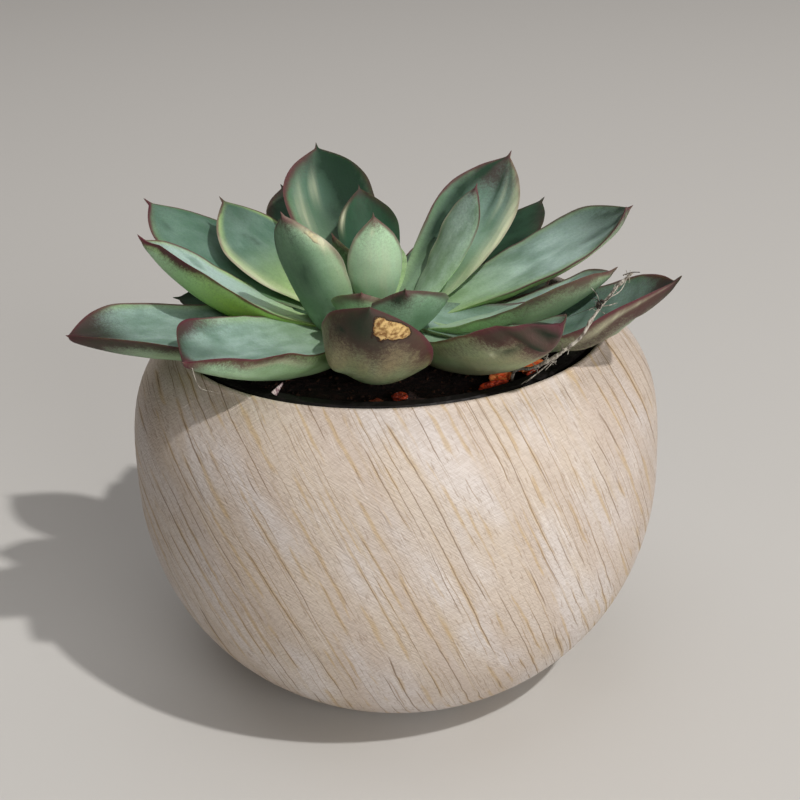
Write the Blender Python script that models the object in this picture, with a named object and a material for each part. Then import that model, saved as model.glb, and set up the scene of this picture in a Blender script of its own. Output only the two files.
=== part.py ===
# A potted rosette succulent: a round outer pot, the black nursery pot inside it, the soil,
# one rosette of fleshy leaves, bits of bark and a dry flower stalk.
# The origin is the middle of the outer pot's flat base, +Z is up and -Y is the front.
# Sizes below are in millimetres; every mesh is scaled to metres when its object is made.

import math
from typing import NamedTuple

import bmesh
import bpy
from mathutils import Matrix, Vector, noise

MM = 0.001
GAP = 0.3

# Outer pot: a bulging body whose outline is a rounded curve above and below its widest height
POT_RADIUS = 56.0
POT_WIDEST_Z = 48.0
POT_RIM_Z = 78.4
POT_BASE_RADIUS = 28.0
POT_UPPER_REACH = 36.06
POT_UPPER_POWER = 3.47
POT_LOWER_REACH = 54.5
POT_LOWER_POWER = 2.1
POT_WALL = 2.2
POT_LIP = 1.6
POT_FLOOR_Z = 3.0
POT_FLOOR_RADIUS = 29.5
POT_INSIDE_Z = (6.0, 74.0)
POT_INSIDE_POINTS = 8
POT_OUTSIDE_Z = (4.0, 75.5)
POT_OUTSIDE_POINTS = 14
POT_FOOT_EDGE_Z = 1.2
POT_STEPS = 48

# Nursery pot: a tapering liner with a flat ring for a lip, standing on the outer pot's floor
LINER_BASE_RADIUS = 28.0
LINER_TOP_RADIUS = 40.4
LINER_WALL = 1.0
LINER_LIP_RADIUS = 42.4
LINER_LIP_DROP = 3.0
LINER_TOP_Z = 77.6
LINER_EDGE_ROUND = 0.4
LINER_STEPS = 40
DRAIN_HOLES = 6
DRAIN_RADIUS = 3.0
DRAIN_RING_RADIUS = 18.0

# Soil: fills the nursery pot, low mound on top, plain holes for the stems
SOIL_EDGE_Z = 74.6
SOIL_MIDDLE_Z = 75.4
SOIL_RELIEF = 0.5
SOIL_LUMP_PITCH = 0.3
SOIL_TOP_RADII = (8.0, 13.0, 18.0, 23.0, 28.0, 33.0, 37.0)
SOIL_STEPS = 40
STEM_RADIUS = 5.0
STEM_FOOT_Z = 62.0

# Core of the rosette, from which every leaf grows
CORE_CENTRE = (-1.0, -4.0, 79.6)
CORE_RADIUS = 12.0
CORE_HALF_HEIGHT = 3.6
HEART_CENTRE = (-2.0, -3.5, 82.0)
HEART_RADIUS = 4.0
HEART_HALF_HEIGHT = 3.2

# Leaf form shared by all leaves
LEAF_THICKNESS = 5.0
THICKNESS_TO_WIDTH = 0.36
UPPER_SHARE = 0.35
ROOT_SINK = 2.0
LEAF_SIDES = 12
LEAF_RINGS = 9
FIRST_RING = 0.02
RING_CROWDING = 1.3
AXIS_STEPS = 16

# Dry flower stalk, through these points, and its hole in the soil
STALK_RADIUS = 0.5
STALK_FOOT = (23.0, -28.3)
STALK_HOLE_RADIUS = STALK_RADIUS + GAP + 0.05
STALK_HOLE_Z = 71.0
STALK_ROUTE = (
    (*STALK_FOOT, 71.4),
    (*STALK_FOOT, 74.0),
    (*STALK_FOOT, 76.6),
    (23.8, -29.5, 78.7),
    (26.4, -33.0, 80.3),
    (30.0, -35.6, 83.2),
    (33.2, -36.8, 86.0),
    (35.4, -37.2, 88.2),
    (37.4, -36.6, 91.4),
    (41.6, -34.8, 96.0),
    (45.0, -34.0, 98.9),
)
STALK_POINTS = 30


class Leaf(NamedTuple):
    # heading: compass of the leaf seen from above, 0 to the right and 90 to the back
    # rise: angle above the horizon at the root and at the tip
    # root: where the leaf's middle line starts
    # turn: roll about its own length, bend: how far the heading drifts towards the tip
    # widest: place of the greatest width, power: how blunt the end is
    # cup: how far the margins stand above the middle, base: width at the root
    heading: float
    rise: tuple
    length: float
    width: float
    root: tuple
    turn: float = 0.0
    bend: float = 0.0
    widest: float = 0.62
    power: float = 2.3
    cup: float = 0.15
    base: float = 0.42


# Low ring: long leaves that hang out over the rim
LOW_LEAVES = (
    Leaf(197, (-3, 18), 63, 25, (-4.5, -4, 79.6), 1, 5, 0.68, 2.6, 0.35),
    Leaf(224, (-5, 24), 50, 25.5, (-4, -6.5, 79.5), -3, 1, 0.66, 4.0, 0.45),
    Leaf(265, (-26, 74), 50, 22.5, (-4.5, -9.5, 82.4), -25, 19, 0.66, 2.4, 0.45, 0.52),
    Leaf(311, (-10, 44), 50, 22, (1.5, -10, 79.8), -6, -6, 0.63, 2.4, 0.45),
    Leaf(336, (-17, 48), 63, 23, (4, -5.5, 81.6), 5, -12, 0.67, 2.4, 0.36),
)

# Side leaves of the middle ring
MIDDLE_LEAVES = (
    Leaf(185, (2, 52), 52, 19, (-5.5, -3, 79), 2, -4, 0.7, 2.6, 0.25),
    Leaf(155, (9, 29), 60, 22, (-4.5, 0, 80.5), 0, -11, 0.64, 2.4, 0.0),
    Leaf(148, (13, 41), 45, 20, (-4, -1, 81), -1, -9, 0.61, 2.3, 0.0),
    Leaf(120, (19, 20), 50, 19, (-2, 3, 80.5), -1, -4, 0.63, 2.4, 0.1),
    Leaf(44, (4, 25), 49, 16.5, (3, 1.5, 81), -7, 7, 0.61, 2.2, 0.1),
    Leaf(17, (9, 29), 54, 20, (4.5, -1.5, 80), 2, 2, 0.69, 2.5, 0.2),
    Leaf(344, (-1, 40), 47, 21.5, (3, -6, 79), -9, 4, 0.68, 2.6, 0.25),
)

# Steep leaves about the heart
UPPER_LEAVES = (
    Leaf(114, (26, 47), 43, 19, (-4.5, 1.5, 83), -6, -17, 0.62, 2.3, 0.2),
    Leaf(231, (67, 67), 33, 16, (-11.5, -8.5, 78.5), 9, -11, 0.61, 2.1, 0.25),
    Leaf(46, (23, 51), 44, 18, (4, 0, 81.5), 11, 2, 0.59, 2.2, 0.25, 0.46),
    Leaf(26, (45, 69), 28, 11.5, (5.5, -1.5, 83), 2, 3, 0.61, 2.2, 0.05),
    Leaf(277, (16, 57), 26, 17.5, (1.5, -7, 80.5), 8, -9, 0.61, 2.2, 0.15),
    Leaf(258, (20, 56), 23, 15, (-2, -7.5, 80.5), -6, 1, 0.62, 2.3, 0.15),
)

# Young leaves that close the heart
HEART_LEAVES = (
    Leaf(269, (46, 77), 28, 10.5, (-2.5, -6, 84), 10, 2, 0.56, 2.0, 0.15),
    Leaf(102, (51, 67), 23, 12.5, (-3, 0.5, 84.5), 0, 1, 0.57, 1.9, 0.3),
    Leaf(207, (61, 67), 21, 9, (-3, -3, 82), 0, -1, 0.62, 2.3, 0.2),
    Leaf(15, (62, 80), 11, 7.5, (-2.5, -2.5, 83)),
    Leaf(80, (46, 70), 15, 9.5, (-2, -1, 83)),
    Leaf(145, (54, 76), 13, 8.5, (-3.5, -2, 83)),
)

# Leaves at the back and under the others
BACK_LEAVES = (
    Leaf(71, (0, 4), 50, 16, (2, 3, 80)),
    Leaf(107, (5, 12), 48, 17, (0, 3, 80.5)),
    Leaf(58, (2, 12), 54, 19, (3, 2, 80.5)),
    Leaf(130, (0, 6), 52, 18, (-3, 2, 80.5)),
    Leaf(167, (4, 2), 44, 20, (-4, -0.5, 80.5), 0, 0, 0.6, 4.0),
    Leaf(31, (0, 4), 43, 17, (4, 1, 79.5)),
)


class Chip(NamedTuple):
    place: tuple
    size: tuple
    turn: float
    seed: int
    colour: tuple


ORANGE_BARK = (0.62, 0.12, 0.03, 1.0)
RED_BARK = (0.30, 0.05, 0.03, 1.0)
CHIPS = (
    Chip((21.0, -26.4), (4.6, 2.8, 3.0), 30, 1, ORANGE_BARK),
    Chip((27.0, -22.4), (6.4, 3.2, 3.2), 42, 2, ORANGE_BARK),
    Chip((27.4, -26.0), (3.6, 2.2, 2.6), 48, 3, RED_BARK),
    Chip((19.0, -31.0), (6.0, 2.6, 2.8), 28, 4, RED_BARK),
    Chip((1.0, -33.5), (3.4, 2.4, 2.4), 10, 5, RED_BARK),
    Chip((-3.5, -35.4), (3.2, 2.0, 2.6), -20, 6, ORANGE_BARK),
)
BARK_ROUGHNESS = 0.28
BARK_LUMPS = 0.35
BARK_LUMP_PITCH = 2.6
BARK_UNDERSIDE = -0.3

# Dry scale standing on the liner's lip
SLIVER_PLACE = (-22.4, -34.6)
SLIVER_WIDTH = 2.4
SLIVER_THICKNESS = 0.9
SLIVER_HEIGHT = 2.3
SLIVER_TURN = 25.0


def clear_scene():
    for item in list(bpy.data.objects):
        bpy.data.objects.remove(item, do_unlink=True)


def make_material(name, colour, roughness, metallic=0.0):
    material = bpy.data.materials.new(name)
    material.use_nodes = True
    shader = material.node_tree.nodes["Principled BSDF"]
    shader.inputs["Base Color"].default_value = colour
    shader.inputs["Roughness"].default_value = roughness
    shader.inputs["Metallic"].default_value = metallic
    material.diffuse_color = colour
    return material


def add_object(name, bm, material):
    # The mesh comes in millimetres and leaves in metres
    bmesh.ops.scale(bm, vec=(MM, MM, MM), verts=bm.verts)
    mesh = bpy.data.meshes.new(name)
    bm.to_mesh(mesh)
    bm.free()
    mesh.materials.append(material)
    piece = bpy.data.objects.new(name, mesh)
    bpy.context.scene.collection.objects.link(piece)
    return piece


def shade_round(piece, angle=35.0):
    piece.data.shade_smooth()
    piece.data.set_sharp_from_angle(angle=math.radians(angle))


def turned_piece(name, profile, steps, material):
    # The profile runs from the axis over the top and down the outside, back to the axis
    bm = bmesh.new()
    points = [bm.verts.new((radius, 0.0, height)) for radius, height in profile]
    for near, far in zip(points, points[1:]):
        bm.edges.new((near, far))
    piece = add_object(name, bm, material)
    screw = piece.modifiers.new("Turn", "SCREW")
    screw.steps = steps
    screw.render_steps = steps
    screw.use_merge_vertices = True
    screw.merge_threshold = 0.00001
    screw.use_smooth_shade = True
    return piece


def cutter(name, bm, material):
    piece = add_object(name, bm, material)
    piece.hide_render = True
    piece.display_type = "WIRE"
    return piece


def cut(piece, tool):
    boolean = piece.modifiers.new("Cut " + tool.name, "BOOLEAN")
    boolean.operation = "DIFFERENCE"
    boolean.solver = "EXACT"
    boolean.object = tool


def pot_radius(height):
    # Outer radius of the pot at a height
    if height > POT_WIDEST_Z:
        share = (height - POT_WIDEST_Z) / POT_UPPER_REACH
        power = POT_UPPER_POWER
    else:
        share = (POT_WIDEST_Z - height) / POT_LOWER_REACH
        power = POT_LOWER_POWER
    return POT_RADIUS * (1.0 - share ** power) ** (1.0 / power)


def arc(centre, radius, start, end, count):
    angles = [math.radians(start + (end - start) * i / (count - 1)) for i in range(count)]
    return [(centre[0] + radius * math.cos(a), centre[1] + radius * math.sin(a)) for a in angles]


def wall_profile(inset, low, high, count):
    # Points of the pot's outline from low to high, moved inwards along its normal
    points = []
    step = 0.05
    for i in range(count):
        height = low + (high - low) * i / (count - 1)
        slope = (pot_radius(height + step) - pot_radius(height - step)) / (2 * step)
        length = math.hypot(1.0, slope)
        points.append((pot_radius(height) - inset / length, height + inset * slope / length))
    return points


def make_outer_pot():
    clay = make_material("pale_wood_print", (0.66, 0.57, 0.50, 1.0), 0.6)
    lip_radius = POT_LIP / 2
    lip_z = POT_RIM_Z - lip_radius
    lip_centre = (pot_radius(lip_z) - lip_radius, lip_z)
    inside = [(0.0, POT_FLOOR_Z), (POT_FLOOR_RADIUS, POT_FLOOR_Z)]
    inside += wall_profile(POT_WALL, *POT_INSIDE_Z, POT_INSIDE_POINTS)
    lip = arc(lip_centre, lip_radius, 180, 0, 5)
    outside = wall_profile(0.0, *POT_OUTSIDE_Z, POT_OUTSIDE_POINTS)[::-1]
    foot = [(pot_radius(POT_FOOT_EDGE_Z), POT_FOOT_EDGE_Z), (POT_BASE_RADIUS, 0.0), (0.0, 0.0)]
    return turned_piece("outer_pot", inside + lip + outside + foot, POT_STEPS, clay)


def liner_radius(height):
    # Outer radius of the liner's wall
    share = (height - POT_FLOOR_Z) / (LINER_TOP_Z - POT_FLOOR_Z)
    return LINER_BASE_RADIUS + (LINER_TOP_RADIUS - LINER_BASE_RADIUS) * share


def make_nursery_pot():
    plastic = make_material("black_plastic", (0.012, 0.012, 0.013, 1.0), 0.38)
    base_z = POT_FLOOR_Z + GAP
    floor_z = base_z + LINER_WALL
    lip_under = LINER_TOP_Z - LINER_WALL
    skirt_z = LINER_TOP_Z - LINER_LIP_DROP
    profile = [
        (0.0, floor_z),
        (liner_radius(floor_z) - LINER_WALL, floor_z),
        (liner_radius(LINER_TOP_Z) - LINER_WALL, LINER_TOP_Z - LINER_EDGE_ROUND),
        (liner_radius(LINER_TOP_Z) - LINER_WALL + LINER_EDGE_ROUND, LINER_TOP_Z),
        (LINER_LIP_RADIUS - LINER_EDGE_ROUND, LINER_TOP_Z),
        (LINER_LIP_RADIUS, LINER_TOP_Z - LINER_EDGE_ROUND),
        (LINER_LIP_RADIUS, skirt_z),
        (LINER_LIP_RADIUS - LINER_WALL, skirt_z),
        (LINER_LIP_RADIUS - LINER_WALL, lip_under),
        (liner_radius(lip_under), lip_under),
        (liner_radius(base_z), base_z),
        (0.0, base_z),
    ]
    liner = turned_piece("nursery_pot", profile, LINER_STEPS, plastic)
    drills = bmesh.new()
    for i in range(DRAIN_HOLES):
        angle = 2 * math.pi * i / DRAIN_HOLES
        place = (DRAIN_RING_RADIUS * math.cos(angle), DRAIN_RING_RADIUS * math.sin(angle), base_z)
        bmesh.ops.create_cone(
            drills, cap_ends=True, segments=12, radius1=DRAIN_RADIUS, radius2=DRAIN_RADIUS,
            depth=4 * LINER_WALL, matrix=Matrix.Translation(place))
    cut(liner, cutter("drain_drills", drills, plastic))
    return liner


def soil_height(x, y):
    # Low mound with shallow lumps
    radius = math.hypot(x, y)
    edge = liner_radius(SOIL_EDGE_Z) - LINER_WALL - GAP
    mound = SOIL_MIDDLE_Z + (SOIL_EDGE_Z - SOIL_MIDDLE_Z) * (radius / edge) ** 2
    return mound + SOIL_RELIEF * noise.noise(Vector((x, y, 0.0)) * SOIL_LUMP_PITCH)


def make_soil():
    earth = make_material("potting_soil", (0.022, 0.015, 0.011, 1.0), 0.95)
    base_z = POT_FLOOR_Z + GAP + LINER_WALL + GAP
    inset = LINER_WALL + GAP
    hole = STEM_RADIUS + GAP
    profile = [(0.0, STEM_FOOT_Z), (hole, STEM_FOOT_Z), (hole, SOIL_MIDDLE_Z)]
    profile += [(radius, SOIL_MIDDLE_Z) for radius in SOIL_TOP_RADII]
    profile += [(liner_radius(SOIL_EDGE_Z) - inset, SOIL_EDGE_Z), (liner_radius(base_z) - inset, base_z)]
    profile += [(0.0, base_z)]
    bm = bmesh.new()
    points = [bm.verts.new((radius, 0.0, height)) for radius, height in profile]
    for near, far in zip(points, points[1:]):
        bm.edges.new((near, far))
    bmesh.ops.spin(
        bm, geom=bm.verts[:] + bm.edges[:], cent=(0, 0, 0), axis=(0, 0, 1),
        angle=2 * math.pi, steps=SOIL_STEPS, use_merge=True)
    bmesh.ops.remove_doubles(bm, verts=bm.verts, dist=0.001)
    bmesh.ops.recalc_face_normals(bm, faces=bm.faces)
    for point in bm.verts:
        if point.co.z > SOIL_MIDDLE_Z - 0.01:
            point.co.z = soil_height(point.co.x, point.co.y)
    soil = add_object("soil", bm, earth)
    drill = bmesh.new()
    depth = SOIL_MIDDLE_Z - STALK_HOLE_Z
    bmesh.ops.create_cone(
        drill, cap_ends=True, segments=10, radius1=STALK_HOLE_RADIUS, radius2=STALK_HOLE_RADIUS,
        depth=2 * depth, matrix=Matrix.Translation((*STALK_FOOT, STALK_HOLE_Z + depth)))
    cut(soil, cutter("stalk_drill", drill, earth))
    return soil


def leaf_width(leaf, along):
    # Half the leaf's width at a share of its length: it swells from the root and closes to a point
    if along <= leaf.widest:
        share = leaf.base + (1 - leaf.base) * math.sin(0.5 * math.pi * along / leaf.widest)
    else:
        share = 1 - ((along - leaf.widest) / (1 - leaf.widest)) ** leaf.power
    return 0.5 * leaf.width * share


def leaf_thickness(leaf, along):
    full = min(LEAF_THICKNESS, THICKNESS_TO_WIDTH * leaf.width)
    return full * (0.8 + 0.2 * math.sin(math.pi * along)) * (1 - 0.75 * along ** 3)


def leaf_direction(leaf, along):
    heading = math.radians(leaf.heading + leaf.bend * along ** 1.5)
    rise = math.radians(leaf.rise[0] + (leaf.rise[1] - leaf.rise[0]) * along)
    flat = math.cos(rise)
    return Vector((flat * math.cos(heading), flat * math.sin(heading), math.sin(rise)))


def leaf_frame(leaf, along):
    # Middle point, side and upward directions at a share of the leaf's length
    point = Vector(leaf.root)
    step = along / AXIS_STEPS
    for i in range(AXIS_STEPS):
        point += leaf_direction(leaf, (i + 0.5) * step) * leaf.length * step
    forward = leaf_direction(leaf, along)
    heading = math.radians(leaf.heading + leaf.bend * along ** 1.5)
    side = Vector((-math.sin(heading), math.cos(heading), 0.0))
    roll = Matrix.Rotation(math.radians(leaf.turn), 3, forward)
    return point, roll @ side, roll @ forward.cross(side)


def ring_share(ring):
    # Rings crowd towards the tip, where the outline turns fastest
    share = (ring - 1) / LEAF_RINGS
    return FIRST_RING + (1 - FIRST_RING) * (1 - (1 - share) ** RING_CROWDING)


def make_leaf(name, leaf, material):
    # A ball whose poles become the sunken root and the tip, and whose rings become cross-sections
    bm = bmesh.new()
    bmesh.ops.create_uvsphere(bm, u_segments=LEAF_SIDES, v_segments=LEAF_RINGS + 1, radius=1.0)
    for vertex in bm.verts:
        polar = math.acos(max(-1.0, min(1.0, -vertex.co.z)))
        ring = round(polar * (LEAF_RINGS + 1) / math.pi)
        if ring == 0:
            point, side, up = leaf_frame(leaf, 0.0)
            vertex.co = point - leaf_direction(leaf, 0.0) * ROOT_SINK
            continue
        if ring == LEAF_RINGS + 1:
            vertex.co = leaf_frame(leaf, 1.0)[0]
            continue
        along = ring_share(ring)
        point, side, up = leaf_frame(leaf, along)
        across = vertex.co.x / math.sin(polar)
        half = leaf_width(leaf, along)
        belly = leaf_thickness(leaf, along) * (1 - across ** 2)
        lift = UPPER_SHARE * belly if vertex.co.y > 0 else (UPPER_SHARE - 1) * belly
        vertex.co = point + side * half * across + up * (leaf.cup * half * across ** 2 + lift)
    bmesh.ops.triangulate(bm, faces=bm.faces)
    return add_object(name, bm, material)


def make_ball(name, centre, radius, half_height, material):
    bm = bmesh.new()
    bmesh.ops.create_uvsphere(bm, u_segments=14, v_segments=8, radius=1.0)
    bmesh.ops.scale(bm, vec=(radius, radius, half_height), verts=bm.verts)
    bmesh.ops.translate(bm, vec=centre, verts=bm.verts)
    return add_object(name, bm, material)


def make_stem(name, material):
    bm = bmesh.new()
    foot = STEM_FOOT_Z + GAP
    depth = CORE_CENTRE[2] - foot
    bmesh.ops.create_cone(
        bm, cap_ends=True, segments=16, radius1=STEM_RADIUS - 0.6, radius2=STEM_RADIUS - 0.1, depth=depth,
        matrix=Matrix.Translation((0.0, 0.0, foot + depth / 2)))
    return add_object(name, bm, material)


def keep_largest_body(mesh):
    # Sealed pockets and loose scraps left where leaves cross are dropped
    bm = bmesh.new()
    bm.from_mesh(mesh)
    waiting = set(bm.verts)
    bodies = []
    while waiting:
        front = [waiting.pop()]
        body = list(front)
        while front:
            vertex = front.pop()
            near = [edge.other_vert(vertex) for edge in vertex.link_edges]
            fresh = [other for other in near if other in waiting]
            waiting.difference_update(fresh)
            front += fresh
            body += fresh
        bodies.append(body)
    bodies.sort(key=len)
    scraps = [vertex for body in bodies[:-1] for vertex in body]
    bmesh.ops.delete(bm, geom=scraps, context="VERTS")
    bm.to_mesh(mesh)
    bm.free()


def join_by_union(whole, others):
    # One union takes in every other body, then those bodies go
    group = bpy.data.collections.new("leaves_to_join")
    bpy.context.scene.collection.children.link(group)
    for body in others:
        bpy.context.scene.collection.objects.unlink(body)
        group.objects.link(body)
    union = whole.modifiers.new("Join", "BOOLEAN")
    union.operation = "UNION"
    union.operand_type = "COLLECTION"
    union.collection = group
    union.solver = "EXACT"
    bpy.context.view_layer.update()
    graph = bpy.context.evaluated_depsgraph_get()
    joined = bpy.data.meshes.new_from_object(whole.evaluated_get(graph))
    whole.modifiers.clear()
    whole.data = joined
    keep_largest_body(joined)
    for body in others:
        bpy.data.objects.remove(body, do_unlink=True)
    bpy.data.collections.remove(group)


def make_rosette():
    flesh = make_material("leaf_skin", (0.20, 0.31, 0.25, 1.0), 0.45)
    core = make_ball("rosette", CORE_CENTRE, CORE_RADIUS, CORE_HALF_HEIGHT, flesh)
    bodies = [make_ball("heart", HEART_CENTRE, HEART_RADIUS, HEART_HALF_HEIGHT, flesh)]
    bodies.append(make_stem("stem", flesh))
    leaves = LOW_LEAVES + MIDDLE_LEAVES + UPPER_LEAVES + HEART_LEAVES + BACK_LEAVES
    for i, leaf in enumerate(leaves):
        bodies.append(make_leaf("leaf_" + str(i), leaf, flesh))
    join_by_union(core, bodies)
    shade_round(core, 40.0)
    return core


def make_chip(number, chip):
    # A rough block with a flat underside that rests on the highest lump beneath it
    bark = make_material("bark_" + str(number), chip.colour, BARK_ROUGHNESS)
    bm = bmesh.new()
    bmesh.ops.create_icosphere(bm, subdivisions=2, radius=0.5)
    for vertex in bm.verts:
        rough = noise.noise(vertex.co * BARK_LUMP_PITCH + Vector((7.0 * chip.seed, 0.0, 0.0)))
        vertex.co *= 1.0 + BARK_LUMPS * rough
        vertex.co.z = max(vertex.co.z, BARK_UNDERSIDE)
    bmesh.ops.scale(bm, vec=chip.size, verts=bm.verts)
    turn = Matrix.Rotation(math.radians(chip.turn), 3, "Z")
    bmesh.ops.rotate(bm, cent=(0, 0, 0), matrix=turn, verts=bm.verts)
    bmesh.ops.translate(bm, vec=(*chip.place, 0.0), verts=bm.verts)
    ground = max(soil_height(v.co.x, v.co.y) for v in bm.verts)
    lowest = min(v.co.z for v in bm.verts)
    bmesh.ops.translate(bm, vec=(0.0, 0.0, ground + GAP - lowest), verts=bm.verts)
    return add_object("bark_chip_" + str(number), bm, bark)


def smooth_route(points, count):
    # Evenly spread points on a smooth curve through the route
    ends = [points[0]] + list(points) + [points[-1]]
    spans = len(points) - 1
    route = []
    for i in range(count):
        place = spans * i / (count - 1)
        span = min(int(place), spans - 1)
        t = place - span
        a, b, c, d = (Vector(p) for p in ends[span:span + 4])
        curve = 2 * b + (c - a) * t + (2 * a - 5 * b + 4 * c - d) * t ** 2 + (3 * b - a - 3 * c + d) * t ** 3
        route.append(0.5 * curve)
    return route


def make_stalk():
    straw = make_material("dry_straw", (0.42, 0.38, 0.33, 1.0), 0.85)
    curve = bpy.data.curves.new("dry_stalk", "CURVE")
    curve.dimensions = "3D"
    curve.bevel_depth = STALK_RADIUS * MM
    curve.bevel_resolution = 2
    curve.use_fill_caps = True
    spline = curve.splines.new("POLY")
    spline.points.add(STALK_POINTS - 1)
    for control, place in zip(spline.points, smooth_route(STALK_ROUTE, STALK_POINTS)):
        control.co = (*(place * MM), 1.0)
    curve.materials.append(straw)
    stalk = bpy.data.objects.new("dry_stalk", curve)
    bpy.context.scene.collection.objects.link(stalk)
    return stalk


def make_sliver():
    scale = make_material("dry_scale", (0.36, 0.24, 0.27, 1.0), 0.6)
    bm = bmesh.new()
    bmesh.ops.create_cone(
        bm, cap_ends=True, segments=6, radius1=SLIVER_WIDTH / 2, radius2=SLIVER_WIDTH / 8, depth=SLIVER_HEIGHT)
    bmesh.ops.scale(bm, vec=(1.0, SLIVER_THICKNESS / SLIVER_WIDTH, 1.0), verts=bm.verts)
    turn = Matrix.Rotation(math.radians(SLIVER_TURN), 3, "Z")
    bmesh.ops.rotate(bm, cent=(0, 0, 0), matrix=turn, verts=bm.verts)
    rest_z = LINER_TOP_Z + GAP + SLIVER_HEIGHT / 2
    bmesh.ops.translate(bm, vec=(*SLIVER_PLACE, rest_z), verts=bm.verts)
    return add_object("dry_sliver", bm, scale)


def main():
    clear_scene()
    make_outer_pot()
    make_nursery_pot()
    make_soil()
    make_rosette()
    for number, chip in enumerate(CHIPS, start=1):
        make_chip(number, chip)
    make_stalk()
    make_sliver()


main()
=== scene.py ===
import math
import random

import bmesh
import bpy
from mathutils import Matrix, Vector, noise


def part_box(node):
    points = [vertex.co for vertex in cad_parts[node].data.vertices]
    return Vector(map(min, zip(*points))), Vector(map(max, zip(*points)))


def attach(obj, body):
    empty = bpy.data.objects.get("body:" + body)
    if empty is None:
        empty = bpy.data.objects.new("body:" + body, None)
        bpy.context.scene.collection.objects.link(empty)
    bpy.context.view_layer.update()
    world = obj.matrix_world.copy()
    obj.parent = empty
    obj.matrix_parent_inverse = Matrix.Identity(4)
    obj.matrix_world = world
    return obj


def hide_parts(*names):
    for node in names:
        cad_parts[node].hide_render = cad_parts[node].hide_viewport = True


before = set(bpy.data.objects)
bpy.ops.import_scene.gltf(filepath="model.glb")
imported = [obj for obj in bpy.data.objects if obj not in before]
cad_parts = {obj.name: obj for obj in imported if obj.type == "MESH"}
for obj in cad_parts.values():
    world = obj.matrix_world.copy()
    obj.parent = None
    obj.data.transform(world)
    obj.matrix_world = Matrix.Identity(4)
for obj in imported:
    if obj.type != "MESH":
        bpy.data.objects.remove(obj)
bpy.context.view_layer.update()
print("frame loaded")

mm = 0.001  # the values below are in millimetres, and meshes are scaled to metres at the end


# helpers

def toLinear(red, green, blue):
    # a screen colour from 0 to 255, as the shader wants it
    shares = [c / 255 for c in (red, green, blue)]
    return tuple(s / 12.92 if s < 0.04045 else ((s + 0.055) / 1.055) ** 2.4 for s in shares) + (1.0,)


def makeNode(tree, kind, inputs=None, **settings):
    made = tree.nodes.new(kind)
    for key, value in settings.items():
        setattr(made, key, value)
    for key, value in (inputs or {}).items():
        if isinstance(value, bpy.types.NodeSocket):
            tree.links.new(value, made.inputs[key])
        else:
            made.inputs[key].default_value = value
    return made


def mathNode(tree, operation, first, second=0.0, third=0.0, clamp=False):
    values = {0: first, 1: second, 2: third}
    return makeNode(tree, "ShaderNodeMath", values, operation=operation, use_clamp=clamp).outputs[0]


def makeArithmetic(tree):
    # times and plus take any count of sockets and numbers
    def times(*values, clamp=False):
        total = values[0]
        for value in values[1:]:
            total = mathNode(tree, "MULTIPLY", total, value, clamp=clamp)
        return total

    def plus(*values):
        total = values[0]
        for value in values[1:]:
            total = mathNode(tree, "ADD", total, value)
        return total

    return times, plus


def mixColour(tree, factor, first, second):
    values = {0: factor, 6: first, 7: second}
    return makeNode(tree, "ShaderNodeMix", values, data_type="RGBA", clamp_factor=True).outputs[2]


def smoothMask(tree, value, low, high):
    # 0 at low and 1 at high, where low may be the larger one
    values = {"Value": value, "From Min": low, "From Max": high}
    return makeNode(tree, "ShaderNodeMapRange", values, interpolation_type="SMOOTHSTEP").outputs[0]


def stretched(tree, vector, scale, shift=(0, 0, 0)):
    values = {"Vector": vector, "Scale": scale, "Location": shift}
    return makeNode(tree, "ShaderNodeMapping", values).outputs[0]


def noiseAt(tree, vector, detail=2.0):
    values = {"Vector": vector, "Scale": 1.0, "Detail": detail}
    return makeNode(tree, "ShaderNodeTexNoise", values).outputs[0]


def attribute(tree, name):
    return makeNode(tree, "ShaderNodeAttribute", attribute_type="GEOMETRY", attribute_name=name)


def channels(tree, colour):
    return makeNode(tree, "ShaderNodeSeparateColor", {"Color": colour}).outputs


def makePatches():
    # soft-edged patches of noise, used by every finish: Low and High set how much they cover
    group = bpy.data.node_groups.new("patches", "ShaderNodeTree")
    face = group.interface
    face.new_socket("Vector", in_out="INPUT", socket_type="NodeSocketVector")
    for name, value in (("Scale", 1.0), ("Detail", 2.0), ("Low", 0.45), ("High", 0.65)):
        socket = face.new_socket(name, in_out="INPUT", socket_type="NodeSocketFloat")
        socket.default_value = value
    face.new_socket("Mask", in_out="OUTPUT", socket_type="NodeSocketFloat")
    source = group.nodes.new("NodeGroupInput").outputs
    sink = group.nodes.new("NodeGroupOutput")
    values = {name: source[name] for name in ("Vector", "Scale", "Detail")}
    cloud = makeNode(group, "ShaderNodeTexNoise", {**values, "Roughness": 0.55})
    mask = smoothMask(group, cloud.outputs[0], source["Low"], source["High"])
    group.links.new(mask, sink.inputs["Mask"])
    return group


patchGroup = makePatches()


def patches(tree, vector, scale, low, high, detail=2.0):
    values = {"Vector": vector, "Scale": scale, "Detail": detail, "Low": low, "High": high}
    return makeNode(tree, "ShaderNodeGroup", values, node_tree=patchGroup).outputs["Mask"]


def makeMaterial(name, values):
    material = bpy.data.materials.new(name)
    material.use_nodes = True
    shader = material.node_tree.nodes["Principled BSDF"]
    for key, value in values.items():
        shader.inputs[key].default_value = value
    return material, material.node_tree, shader


def objectPlace(tree):
    # object coordinates in millimetres
    place = makeNode(tree, "ShaderNodeTexCoord").outputs["Object"]
    return stretched(tree, place, (1000, 1000, 1000))


def addBump(tree, shader, height, strength, distance):
    # distance is in millimetres
    values = {"Height": height, "Strength": strength, "Distance": distance * mm}
    tree.links.new(makeNode(tree, "ShaderNodeBump", values).outputs[0], shader.inputs["Normal"])


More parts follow.
